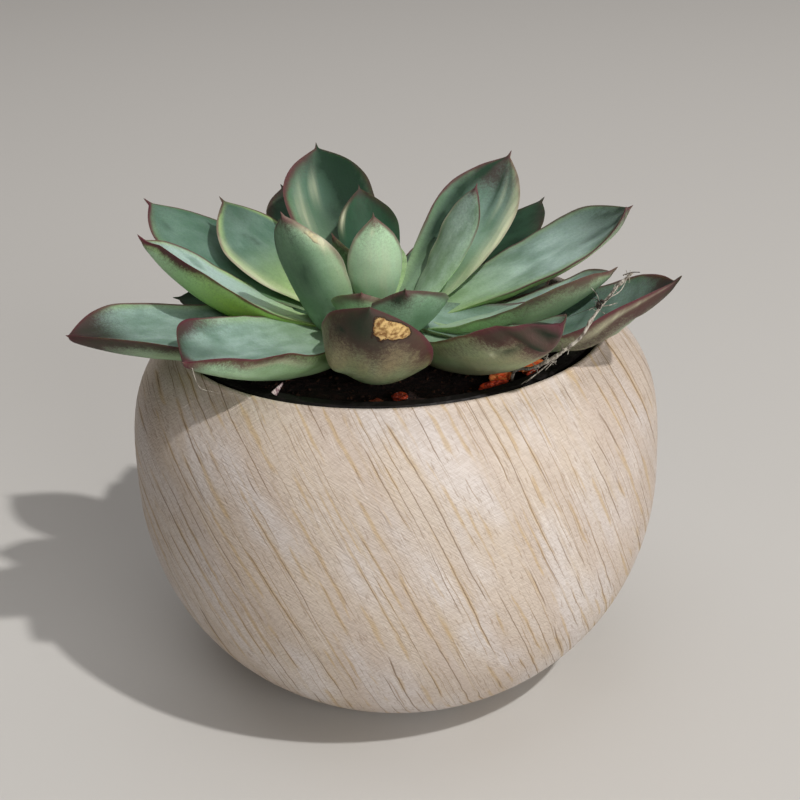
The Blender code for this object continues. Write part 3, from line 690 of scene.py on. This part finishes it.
outerPot = {
    "radius": 56.0, "widestZ": 48.0, "rimZ": 78.4, "baseRadius": 28.0,
    "upperReach": 36.06, "upperPower": 3.47, "lowerReach": 54.5, "lowerPower": 2.1,
    "wall": 2.2, "lip": 1.6, "lipSteps": 8, "floorZ": 3.0, "floorRadius": 29.5,
    "innerSpan": (6.0, 74.0, 24), "outerSpan": (2.4, 76.4, 72), "steps": 192, "footEdge": 1.2,
}

# lean: slope of the grain from the level; tip: how far back the print's own upright leans
# drifts: fineness and reach of the grain's slow and quick wander
# base: stretch, then fineness and threshold from and to
# lines: pitch, wander, half width, share broken off, tint and strength
# streaks: stretch along the grain, fineness, threshold from and to, tint and strength
# ochre: stain beside the widest-spaced lines; threads, weave: the linen emboss
potPrint = {
    "lean": 64.0, "tip": 25.5, "drifts": (((0.05, 0.02, 0.02), 2.0), ((0.3, 0.16, 0.16), 0.65)),
    "cream": toLinear(190, 178, 165), "rose": toLinear(184, 171, 160),
    "base": ((1.0, 0.15, 0.15), (0.1, 0.35, 0.65)),
    "lineBend": (0.12, 0.012, 0.012), "breakPitch": 0.9, "breakStretch": 0.035, "breakEdge": 0.08,
    "lines": (
        (2.3, 2.6, 0.07, 0.47, toLinear(106, 84, 58), 0.8),
        (1.6, 3.4, 0.08, 0.5, toLinear(138, 114, 80), 0.65),
        (0.9, 2.2, 0.1, 0.52, toLinear(144, 126, 108), 0.5),
    ),
    "ochre": toLinear(176, 150, 106), "ochreStrength": 0.6, "ochreSpan": (0.25, 0.04),
    "ochreStretch": (0.5, 0.065, 0.065), "ochreCover": (1.0, 0.5, 0.6),
    "streaks": (
        (0.30, 0.10, 0.46, 0.66, toLinear(200, 196, 196), 0.55),
        (0.03, 0.90, 0.58, 0.72, toLinear(176, 158, 130), 0.45),
        (0.12, 2.60, 0.60, 0.68, toLinear(138, 118, 98), 0.45),
        (0.03, 1.70, 0.60, 0.72, toLinear(214, 208, 202), 0.4),
    ),
    "threadAngles": (35.0, -28.0), "threadScale": (3.4, 0.35, 0.9),
    "weaveTone": toLinear(152, 136, 122), "weaveTint": 0.28,
    "weaveSpan": (0.85, 1.2), "weaveBump": (0.5, 0.25), "shader": {"Roughness": 0.6, "IOR": 1.4},
}


def potRadius(height):
    pot = outerPot
    if height > pot["widestZ"]:
        share, power = (height - pot["widestZ"]) / pot["upperReach"], pot["upperPower"]
    else:
        share, power = (pot["widestZ"] - height) / pot["lowerReach"], pot["lowerPower"]
    return pot["radius"] * (1.0 - share ** power) ** (1.0 / power)


def potWall(inset, low, high, count):
    points = []
    for i in range(count):
        height = low + (high - low) * i / (count - 1)
        slope = (potRadius(height + 0.05) - potRadius(height - 0.05)) / 0.1
        length = math.hypot(1.0, slope)
        points.append((potRadius(height) - inset / length, height + inset * slope / length))
    return points


def makePotPrint():
    look = potPrint
    material, tree, shader = makeMaterial("potPrint", look["shader"])
    times, plus = makeArithmetic(tree)
    place = objectPlace(tree)
    tip = math.radians(look["tip"])
    rise = Vector((0.0, math.sin(tip), math.cos(tip)))
    side = Vector((1.0, 0.0, 0.0))

    def vectorMath(operation, first, second):
        return makeNode(tree, "ShaderNodeVectorMath", {0: first, 1: second}, operation=operation).outputs

    def turned(degrees):
        # x across the grain, y along it and z into the pot, for a grain that leans by the angle
        sine, cosine = math.sin(math.radians(degrees)), math.cos(math.radians(degrees))
        rows = (side * sine + rise * cosine, side * cosine - rise * sine, rise.cross(side))
        dots = [vectorMath("DOT_PRODUCT", place, row)["Value"] for row in rows]
        return makeNode(tree, "ShaderNodeCombineXYZ", dict(enumerate(dots))).outputs[0]

    grain = turned(look["lean"])
    shifts = [
        times(plus(noiseAt(tree, stretched(tree, grain, fineness)), -0.5), reach)
        for fineness, reach in look["drifts"]]
    shift = makeNode(tree, "ShaderNodeCombineXYZ", {0: plus(*shifts)}).outputs[0]
    grain = vectorMath("ADD", grain, shift)[0]
    stretch, cover = look["base"]
    base = patches(tree, stretched(tree, grain, stretch), *cover)
    colour = mixColour(tree, base, look["cream"], look["rose"])
    for index, (along, size, low, high, tint, strength) in enumerate(look["streaks"]):
        strip = stretched(tree, grain, (1.0, along, along), (index * 17.0, index * 5.0, 0.0))
        colour = mixColour(tree, times(patches(tree, strip, size, low, high), strength), colour, tint)

    # long thin lines that wander and break off, some with an ochre stain beside them
    acrossGrain = makeNode(tree, "ShaderNodeSeparateXYZ", {0: grain}).outputs[0]
    for index, (pitch, wander, half, broken, tint, strength) in enumerate(look["lines"]):
        bend = noiseAt(tree, stretched(tree, grain, look["lineBend"], (index * 9.0, 0.0, 0.0)), 1.0)
        phase = mathNode(tree, "MULTIPLY_ADD", bend, wander, mathNode(tree, "DIVIDE", acrossGrain, pitch))
        gap = mathNode(tree, "PINGPONG", phase, 0.5)
        along = look["breakStretch"]
        stretch = (look["breakPitch"] / pitch, along, along)
        strip = stretched(tree, grain, stretch, (0.0, index * 7.0, 0.0))
        whole = patches(tree, strip, 1.0, broken, broken + look["breakEdge"])
        if index == 0:
            strip = stretched(tree, grain, look["ochreStretch"], (3.0, 0.0, 0.0))
            flecks = patches(tree, strip, *look["ochreCover"])
            stain = times(smoothMask(tree, gap, *look["ochreSpan"]), flecks, look["ochreStrength"])
            colour = mixColour(tree, stain, colour, look["ochre"])
        mask = times(smoothMask(tree, gap, half, half * 0.2), whole, strength)
        colour = mixColour(tree, mask, colour, tint)

    # linen emboss: two families of fine crossing threads
    weave = plus(*(
        noiseAt(tree, stretched(tree, turned(angle), look["threadScale"]), 1.0)
        for angle in look["threadAngles"]))
    weaveMask = times(smoothMask(tree, weave, *look["weaveSpan"]), look["weaveTint"])
    tree.links.new(mixColour(tree, weaveMask, colour, look["weaveTone"]), shader.inputs["Base Color"])
    addBump(tree, shader, weave, *look["weaveBump"])
    return material


def makeOuterPot():
    pot = outerPot
    lipRadius = pot["lip"] / 2
    lipZ = pot["rimZ"] - lipRadius
    lipMiddle = potRadius(lipZ) - lipRadius
    inside = [(0.0, pot["floorZ"]), (pot["floorRadius"], pot["floorZ"])]
    inside += potWall(pot["wall"], *pot["innerSpan"])
    angles = [math.pi * (1 - i / pot["lipSteps"]) for i in range(pot["lipSteps"] + 1)]
    lip = [(lipMiddle + lipRadius * math.cos(a), lipZ + lipRadius * math.sin(a)) for a in angles]
    outside = potWall(0.0, *pot["outerSpan"])[::-1]
    foot = [(potRadius(pot["footEdge"]), pot["footEdge"]), (pot["baseRadius"], 0.0), (0.0, 0.0)]
    bm = bmesh.new()
    spinProfile(bm, inside + lip + outside + foot, pot["steps"])
    finishPiece(bm, "outerPot", makePotPrint(), ["outer_pot"])


makeOuterPot()


# nursery pot

nurseryPot = {
    "baseRadius": 28.0, "topRadius": 40.4, "baseZ": 3.3, "topZ": 77.6, "wall": 1.0, "gap": 0.3,
    "tones": (toLinear(12, 9, 10), toLinear(24, 19, 19)), "cover": (0.7, 0.45, 0.7, 4.0),
    "rough": (0.5, 0.3), "bump": (0.3, 0.15), "shader": {"IOR": 1.46, "Specular IOR Level": 0.25},
}


def linerRadius(height):
    pot = nurseryPot
    low = pot["baseZ"] - pot["gap"]
    widening = pot["topRadius"] - pot["baseRadius"]
    return pot["baseRadius"] + widening * (height - low) / (pot["topZ"] - low)


def dressNurseryPot():
    material = makePatchedFinish("blackPlastic", nurseryPot)
    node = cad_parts["nursery_pot"]
    node.data.materials.clear()
    node.data.materials.append(material)
    print("nursery pot dressed")


dressNurseryPot()


# soil

# fine: height, pitch and layer of the small lumps, which rise no more than fineTop
soilBed = {
    "edgeZ": 74.6, "middleZ": 75.4, "relief": 0.5, "lumpPitch": 0.3, "steps": 120, "rings": 40,
    "fine": ((0.45, 0.9, 3.0), (0.2, 2.2, 9.0)), "fineTop": 0.3, "hole": 5.3, "holeFloor": 62.0,
    "tones": (toLinear(20, 12, 11), toLinear(48, 29, 24)),
    "cover": (0.8, 0.4, 0.7, 4.0), "bump": (0.8, 0.4), "shader": {"Roughness": 0.95, "IOR": 1.35},
}

# shares: how deep and how tall a crumb is for its length
crumbs = {
    "count": 900, "size": (0.35, 1.3), "shares": ((0.5, 0.9), (0.4, 0.7)), "sink": 0.15, "seed": 5,
    "innerRadius": 7.0, "outerRadius": 37.5,
    "tones": (toLinear(28, 18, 14), toLinear(88, 58, 42)),
    "cover": (0.35, 0.4, 0.7, 4.0), "bump": (0.8, 0.4), "shader": {"Roughness": 0.95, "IOR": 1.35},
}


def soilHeight(x, y):
    bed = soilBed
    radius = math.hypot(x, y)
    edge = linerRadius(bed["edgeZ"]) - nurseryPot["wall"] - nurseryPot["gap"]
    mound = bed["middleZ"] + (bed["edgeZ"] - bed["middleZ"]) * (radius / edge) ** 2
    return mound + bed["relief"] * noise.noise(Vector((x, y, 0.0)) * bed["lumpPitch"])


def makeSoil():
    bed = soilBed
    inset = nurseryPot["wall"] + nurseryPot["gap"]
    low = nurseryPot["baseZ"] + inset
    edge = linerRadius(bed["edgeZ"]) - inset
    profile = [(0.0, bed["holeFloor"]), (bed["hole"], bed["holeFloor"])]
    for i in range(bed["rings"]):
        profile.append((bed["hole"] + (edge - bed["hole"]) * i / bed["rings"], bed["middleZ"]))
    profile += [(edge, bed["edgeZ"]), (linerRadius(low) - inset, low), (0.0, low)]
    bm = bmesh.new()
    spinProfile(bm, profile, bed["steps"])
    for vertex in bm.verts:
        if vertex.co.z > bed["middleZ"] - 0.01:
            x, y = vertex.co.xy
            fine = sum(
                height * noise.noise(Vector((x, y, layer)) * pitch)
                for height, pitch, layer in bed["fine"])
            vertex.co.z = soilHeight(x, y) + min(fine, bed["fineTop"])
    finishPiece(bm, "soilBed", makePatchedFinish("pottingSoil", bed), ["soil"])


def makeCrumbs():
    draw = random.Random(crumbs["seed"])
    bm = bmesh.new()
    for _ in range(crumbs["count"]):
        angle = draw.uniform(0, 2 * math.pi)
        radius = math.sqrt(draw.uniform(crumbs["innerRadius"] ** 2, crumbs["outerRadius"] ** 2))
        size = draw.uniform(*crumbs["size"]) * draw.uniform(0.5, 1.0)
        x, y = radius * math.cos(angle), radius * math.sin(angle)
        turn = draw.uniform(0, math.pi)
        axis = Vector((draw.random(), draw.random(), draw.random() + 0.1))
        depth, height = (draw.uniform(*span) for span in crumbs["shares"])
        shape = Matrix.Diagonal((1.0, depth, height, 1.0))
        place = Matrix.Translation((x, y, soilHeight(x, y) + crumbs["sink"] * size))
        bmesh.ops.create_icosphere(
            bm, subdivisions=1, radius=size / 2, matrix=place @ Matrix.Rotation(turn, 4, axis) @ shape)
    finishPiece(bm, "soilCrumbs", makePatchedFinish("soilCrumbs", crumbs), smooth=False)


makeSoil()
makeCrumbs()


# bark chips

# the last value of each chip is its share of painted shade, for chips that lie in the leaves' shadow
barkChips = {
    "bark_chip_1": dict(place=(21.0, -26.4), size=(4.6, 2.6, 3.0), turn=30, tone="orange", shadowShare=0.0),
    "bark_chip_2": dict(place=(27.0, -22.4), size=(6.4, 2.9, 3.2), turn=42, tone="orange", shadowShare=0.0),
    "bark_chip_3": dict(place=(27.4, -26.0), size=(3.6, 2.0, 2.6), turn=48, tone="red", shadowShare=0.1),
    "bark_chip_4": dict(place=(19.0, -31.0), size=(6.0, 2.4, 2.6), turn=28, tone="red", shadowShare=0.1),
    "bark_chip_5": dict(place=(1.0, -33.5), size=(3.4, 1.9, 1.7), turn=10, tone="red", shadowShare=0.6),
    "bark_chip_6": dict(place=(-3.5, -35.4), size=(3.2, 1.7, 1.6), turn=-20, tone="orange", shadowShare=0.8),
}
barkLook = {
    "lumps": 0.35, "lumpPitch": 2.6, "pits": 0.12, "pitPitch": 9.0, "underside": -0.3,
    "orange": (toLinear(255, 152, 84), toLinear(242, 86, 38)),
    "red": (toLinear(240, 90, 50), toLinear(150, 40, 26)),
    "shadowTone": toLinear(30, 8, 8),
    "stretch": (1.0, 1.0, 2.2), "cover": (1.1, 0.4, 0.62, 4.0), "rough": (0.2, 0.3),
    "bump": (0.7, 0.3), "shader": {"IOR": 1.45},
}


def makeBark():
    for seed, (node, chip) in enumerate(barkChips.items(), 1):
        bm = bmesh.new()
        bmesh.ops.create_icosphere(bm, subdivisions=5, radius=0.5)
        far = Vector((7.0 * seed, 0.0, 0.0))
        for vertex in bm.verts:
            rough = noise.noise(vertex.co * barkLook["lumpPitch"] + far)
            fine = abs(noise.noise(vertex.co * barkLook["pitPitch"] + far))
            vertex.co *= 1.0 + barkLook["lumps"] * rough - barkLook["pits"] * fine
            vertex.co.z = max(vertex.co.z, barkLook["underside"])
        bmesh.ops.scale(bm, vec=chip["size"], verts=bm.verts)
        turn = Matrix.Rotation(math.radians(chip["turn"]), 3, "Z")
        bmesh.ops.rotate(bm, cent=(0, 0, 0), matrix=turn, verts=bm.verts)
        # each chip rests where its solid does
        low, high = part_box(node)
        lowest = min(v.co.z for v in bm.verts)
        bmesh.ops.translate(bm, vec=(*chip["place"], low[2] / mm - lowest), verts=bm.verts)
        name = node.replace("bark_chip_", "barkChip")
        look = {**barkLook, "tones": barkLook[chip["tone"]], "shadowShare": chip["shadowShare"]}
        finishPiece(bm, name, makePatchedFinish(name, look), [node])


makeBark()


# dry stalk

dryStalk = {
    "radius": 0.4, "thinning": 0.4, "relief": 0.2, "reliefPitch": 0.8, "points": 90, "sides": 10,
    "knots": (0.3, 0.47, 0.62, 0.78, 0.93), "knotRise": 0.4, "knotHalf": 0.012,
    "route": (
        (23.0, -28.3, 71.4), (23.0, -28.3, 74.0), (23.0, -28.3, 76.6), (23.8, -29.5, 78.7),
        (26.4, -33.0, 80.3), (30.0, -35.6, 83.2), (33.2, -36.8, 86.0), (35.4, -37.2, 88.2),
        (37.4, -36.6, 91.4), (41.6, -34.8, 96.0), (45.0, -34.0, 98.9)),
    "tones": (toLinear(180, 175, 164), toLinear(100, 92, 83)), "stretch": (1, 1, 0.4),
    "cover": (1.6, 0.4, 0.65, 3.0), "bump": (0.6, 0.2), "shader": {"Roughness": 0.85, "IOR": 1.35},
}

# strands: radius and route of each loose fibre; tufts: place, count and reach of short fibres
dryFluff = {
    "points": 12, "sides": 5, "tuftRadius": 0.055, "tuftDepth": 0.4, "tuftCurl": 0.4, "seed": 3,
    "strands": (
        (0.16, ((32.0, -35.8, 84.6), (28.6, -34.6, 81.0), (25.0, -34.2, 77.8))),
        (0.12, ((30.4, -35.6, 83.4), (28.0, -33.0, 79.6), (23.8, -34.4, 77.4))),
        (0.14, ((29.0, -32.2, 79.4), (31.0, -33.4, 82.2), (32.6, -35.2, 84.6))),
        (0.13, ((31.6, -35.9, 84.0), (29.4, -35.4, 82.6), (27.2, -33.6, 80.2))),
        (0.08, ((38.4, -36.6, 93.2), (38.2, -36.9, 95.6), (36.9, -36.8, 97.4))),
        (0.14, ((38.8, -36.6, 93.8), (40.6, -36.8, 95.4), (42.0, -36.4, 97.4))),
        (0.11, ((39.6, -36.4, 94.8), (42.4, -36.6, 96.4), (44.0, -35.8, 99.4))),
        (0.11, ((38.4, -36.8, 93.6), (40.0, -37.6, 94.0), (41.8, -37.0, 94.2))),
        (0.06, ((-36.4, -45.4, 88.4), (-35.6, -46.0, 85.3), (-34.4, -45.2, 83.8), (-31.9, -43.4, 82.4))),
    ),
    "tufts": (
        ((38.3, -36.5, 93.4), 7, 1.6), ((41.2, -35.6, 96.6), 5, 1.5), ((32.4, -36.6, 85.4), 5, 1.2),
        ((44.4, -34.4, 98.4), 5, 1.3), ((29.6, -34.6, 82.2), 12, 1.6), ((27.4, -33.4, 80.2), 8, 1.4)),
}

dryStraw = makePatchedFinish("dryStraw", dryStalk)


def smoothRoute(points, count):
    # evenly spread points on a smooth curve through the route
    ends = [points[0]] + list(points) + [points[-1]]
    spans = len(points) - 1
    route = []
    for i in range(count):
        place = spans * i / (count - 1)
        span = min(int(place), spans - 1)
        t = place - span
        a, b, c, d = (Vector(p) for p in ends[span:span + 4])
        curve = 2 * b + (c - a) * t
        curve = curve + (2 * a - 5 * b + 4 * c - d) * t ** 2 + (3 * b - a - 3 * c + d) * t ** 3
        route.append(0.5 * curve)
    return route


def addTube(bm, route, radii, sides):
    # rings swept along the route, joined by bridges and closed at both ends
    rings = []
    for i, (point, radius) in enumerate(zip(route, radii)):
        before, after = route[max(i - 1, 0)], route[min(i + 1, len(route) - 1)]
        turn = (after - before).to_track_quat("Z", "Y").to_matrix().to_4x4()
        circle = bmesh.ops.create_circle(
            bm, cap_ends=i in (0, len(route) - 1), segments=sides, radius=radius,
            matrix=Matrix.Translation(point) @ turn)["verts"]
        rings.append(list({edge for vertex in circle for edge in vertex.link_edges}))
    for low, high in zip(rings, rings[1:]):
        bmesh.ops.bridge_loops(bm, edges=low + high)


def addStrands(bm, form):
    # loose fibres that thin to half their radius
    for radius, points in form["strands"]:
        strand = smoothRoute(points, form["points"])
        radii = [radius * (1.0 - 0.5 * i / len(strand)) for i in range(len(strand))]
        addTube(bm, strand, radii, form["sides"])


def makeStalk():
    stalk = dryStalk
    route = smoothRoute(stalk["route"], stalk["points"])
    radii = []
    for i, point in enumerate(route):
        share = i / (len(route) - 1)
        knot = stalk["knotRise"] * sum(
            math.exp(-((share - k) / stalk["knotHalf"]) ** 2) for k in stalk["knots"])
        rough = stalk["relief"] * noise.noise(point * stalk["reliefPitch"])
        radii.append(stalk["radius"] * (1.0 - stalk["thinning"] * share + knot + rough))
    bm = bmesh.new()
    addTube(bm, route, radii, stalk["sides"])
    bmesh.ops.recalc_face_normals(bm, faces=bm.faces)
    finishPiece(bm, "dryStalk", dryStraw, ["dry_stalk"])


def makeFluff():
    fluff = dryFluff
    bm = bmesh.new()
    addStrands(bm, fluff)
    draw = random.Random(fluff["seed"])
    depth = fluff["tuftDepth"]

    def drawTurn():
        return Vector((draw.uniform(-1, 1), draw.uniform(-depth, depth), draw.uniform(-1, 1)))

    for place, count, reach in fluff["tufts"]:
        for _ in range(count):
            turn = drawTurn()
            curl = drawTurn() * fluff["tuftCurl"]
            first = Vector(place)
            points = [first, first + (0.5 * turn + curl) * reach, first + turn * reach]
            strand = smoothRoute(points, fluff["points"])
            addTube(bm, strand, [fluff["tuftRadius"]] * len(strand), fluff["sides"])
    bmesh.ops.recalc_face_normals(bm, faces=bm.faces)
    finishPiece(bm, "dryFluff", dryStraw)


makeStalk()
makeFluff()


# withered bud

# lumps: shift from the place and radius; relief: how uneven they are; strands: radius and route
witheredBud = {
    "place": (38.5, -37.3, 94.3), "relief": 0.9, "reliefPitch": 3.4, "points": 10, "sides": 5,
    "lumps": (((0.0, 0.0, 0.0), 0.48), ((-0.3, 0.0, -0.6), 0.4), ((0.5, 0.0, 0.45), 0.36)),
    "strands": (
        (0.13, ((38.7, -37.2, 94.6), (39.8, -37.3, 95.0), (41.0, -37.0, 96.2))),
        (0.09, ((38.5, -37.2, 94.5), (37.8, -37.3, 95.3), (36.9, -37.2, 95.2))),
        (0.14, ((43.2, -34.3, 98.6), (44.9, -34.1, 99.0), (46.4, -33.9, 98.9))),
        (0.05, ((38.3, -37.2, 94.0), (34.6, -36.8, 92.4), (32.0, -36.0, 91.2))),
    ),
    "tones": (toLinear(66, 58, 50), toLinear(30, 27, 25)),
    "cover": (2.0, 0.4, 0.65, 3.0), "shader": {"Roughness": 0.9, "IOR": 1.35},
}


def makeBud():
    bud = witheredBud
    bm = bmesh.new()
    for shift, radius in bud["lumps"]:
        lump = bmesh.ops.create_icosphere(bm, subdivisions=3, radius=radius)["verts"]
        for vertex in lump:
            rough = noise.noise(vertex.co * bud["reliefPitch"] + Vector(shift) * 5.0)
            vertex.co *= 1.0 + bud["relief"] * rough
        bmesh.ops.translate(bm, vec=Vector(bud["place"]) + Vector(shift), verts=lump)
    addStrands(bm, bud)
    bmesh.ops.recalc_face_normals(bm, faces=bm.faces)
    finishPiece(bm, "witheredBud", makePatchedFinish("witheredBud", bud))


makeBud()


# dry sliver

drySliver = {
    "place": (-22.0, -34.9), "width": 1.9, "thickness": 0.8, "height": 2.8, "lean": 42.0, "turn": 10.0,
    "restZ": 77.75, "edgeRound": 0.12, "sides": 6, "flatness": 0.8, "tipPart": 9,
    "tones": (toLinear(202, 188, 186), toLinear(118, 88, 96)),
    "stretch": (2, 2, 0.6), "cover": (1.5, 0.4, 0.6), "shader": {"Roughness": 0.6, "IOR": 1.4},
}


def makeSliver():
    sliver = drySliver
    width = sliver["width"]
    bm = bmesh.new()
    bmesh.ops.create_cone(
        bm, cap_ends=True, segments=sliver["sides"], radius1=width / 2, radius2=width / sliver["tipPart"],
        depth=sliver["height"])
    bmesh.ops.scale(bm, vec=(sliver["flatness"], sliver["thickness"] / width, 1.0), verts=bm.verts)
    bmesh.ops.bevel(
        bm, geom=bm.edges[:], offset=sliver["edgeRound"], segments=2, profile=0.5,
        affect="EDGES", material=-1)
    for axis, angle in (("Y", sliver["lean"]), ("Z", sliver["turn"])):
        turn = Matrix.Rotation(math.radians(angle), 3, axis)
        bmesh.ops.rotate(bm, cent=(0, 0, 0), matrix=turn, verts=bm.verts)
    lowest = min(v.co.z for v in bm.verts)
    bmesh.ops.translate(bm, vec=(*sliver["place"], sliver["restZ"] - lowest), verts=bm.verts)
    finishPiece(bm, "drySliver", makePatchedFinish("dryScale", sliver), ["dry_sliver"])


makeSliver()


# camera, floor and lights

cameraView = {
    "elevation": 25.5, "yaw": 0.19, "pitch": 1.95, "roll": -2.54, "distance": 336.0, "targetZ": 48.0,
    "focalPixels": 1536.0, "imageWidth": 800.0, "sensor": 36.0,
}


def turnPair(first, second, angle):
    cosine, sine = math.cos(angle), math.sin(angle)
    return first * cosine + second * sine, second * cosine - first * sine


def makeCamera():
    view = cameraView
    elevation, yaw, pitch, roll = (math.radians(view[k]) for k in ("elevation", "yaw", "pitch", "roll"))
    forward = Vector((0, math.cos(elevation), -math.sin(elevation)))
    place = (Vector((0, 0, view["targetZ"])) - view["distance"] * forward) * mm
    right = Vector((1, 0, 0))
    up = right.cross(forward)
    # each turn is within the plane of two of the camera's own lines
    forward, right = turnPair(forward, right, yaw)
    forward, up = turnPair(forward, up, pitch)
    right, up = turnPair(right, up, roll)
    lens = bpy.data.cameras.new("camera")
    lens.sensor_width = view["sensor"]
    lens.lens = view["focalPixels"] / view["imageWidth"] * view["sensor"]
    lens.clip_start = 0.01
    camera = addObject("camera", lens)
    camera.matrix_world = Matrix((right, up, -forward)).transposed().to_4x4()
    camera.location = place
    bpy.context.scene.camera = camera
    print("camera ready")


makeCamera()


studio = {
    "floorSize": 6.0, "floorTone": toLinear(195, 194, 191),
    "skyTone": toLinear(240, 226, 214), "skyPower": 0.163,
    "keyTurn": -46.0, "keyRise": 52.5, "keyDistance": 2.7,
    "aim": (0.0, 0.0, 0.05),
}
# place, size, power and tone of each lamp; the key's place follows from its turn and rise
lamps = {
    "key": (None, 0.08, 48.0, (1.0, 0.968, 0.935)),
    "front": ((0.75, -1.35, 0.42), 0.8, 15.5, (1.0, 0.975, 0.955)),
    "top": ((-0.2, 0.3, 2.2), 2.2, 15.0, (0.98, 0.98, 1.0)),
}


def addLamp(name, place, size, power, tone):
    lamp = bpy.data.lights.new(name, "AREA")
    lamp.size = size
    lamp.energy = power
    lamp.color = tone
    body = addObject(name, lamp)
    body.location = place
    body.rotation_euler = (Vector(studio["aim"]) - Vector(place)).to_track_quat("-Z", "Y").to_euler()


def makeStudio():
    bpy.context.scene.view_settings.view_transform = "Standard"
    world = bpy.data.worlds.new("studio")
    bpy.context.scene.world = world
    world.use_nodes = True
    sky = world.node_tree.nodes["Background"]
    sky.inputs["Color"].default_value = studio["skyTone"]
    sky.inputs["Strength"].default_value = studio["skyPower"]
    turn, rise = math.radians(studio["keyTurn"]), math.radians(studio["keyRise"])
    towards = Vector((math.cos(rise) * math.cos(turn), math.cos(rise) * math.sin(turn), math.sin(rise)))
    keyPlace = Vector(studio["aim"]) + towards * studio["keyDistance"]
    for name, (place, size, power, tone) in lamps.items():
        addLamp(name, place or keyPlace, size, power, tone)
    material = makeMaterial("floorFinish", {"Roughness": 0.7, "Base Color": studio["floorTone"]})[0]
    bm = bmesh.new()
    bmesh.ops.create_grid(bm, x_segments=1, y_segments=1, size=studio["floorSize"] / 2)
    floor = addMesh(bm, "floor", material)


makeStudio()
print("studio ready")
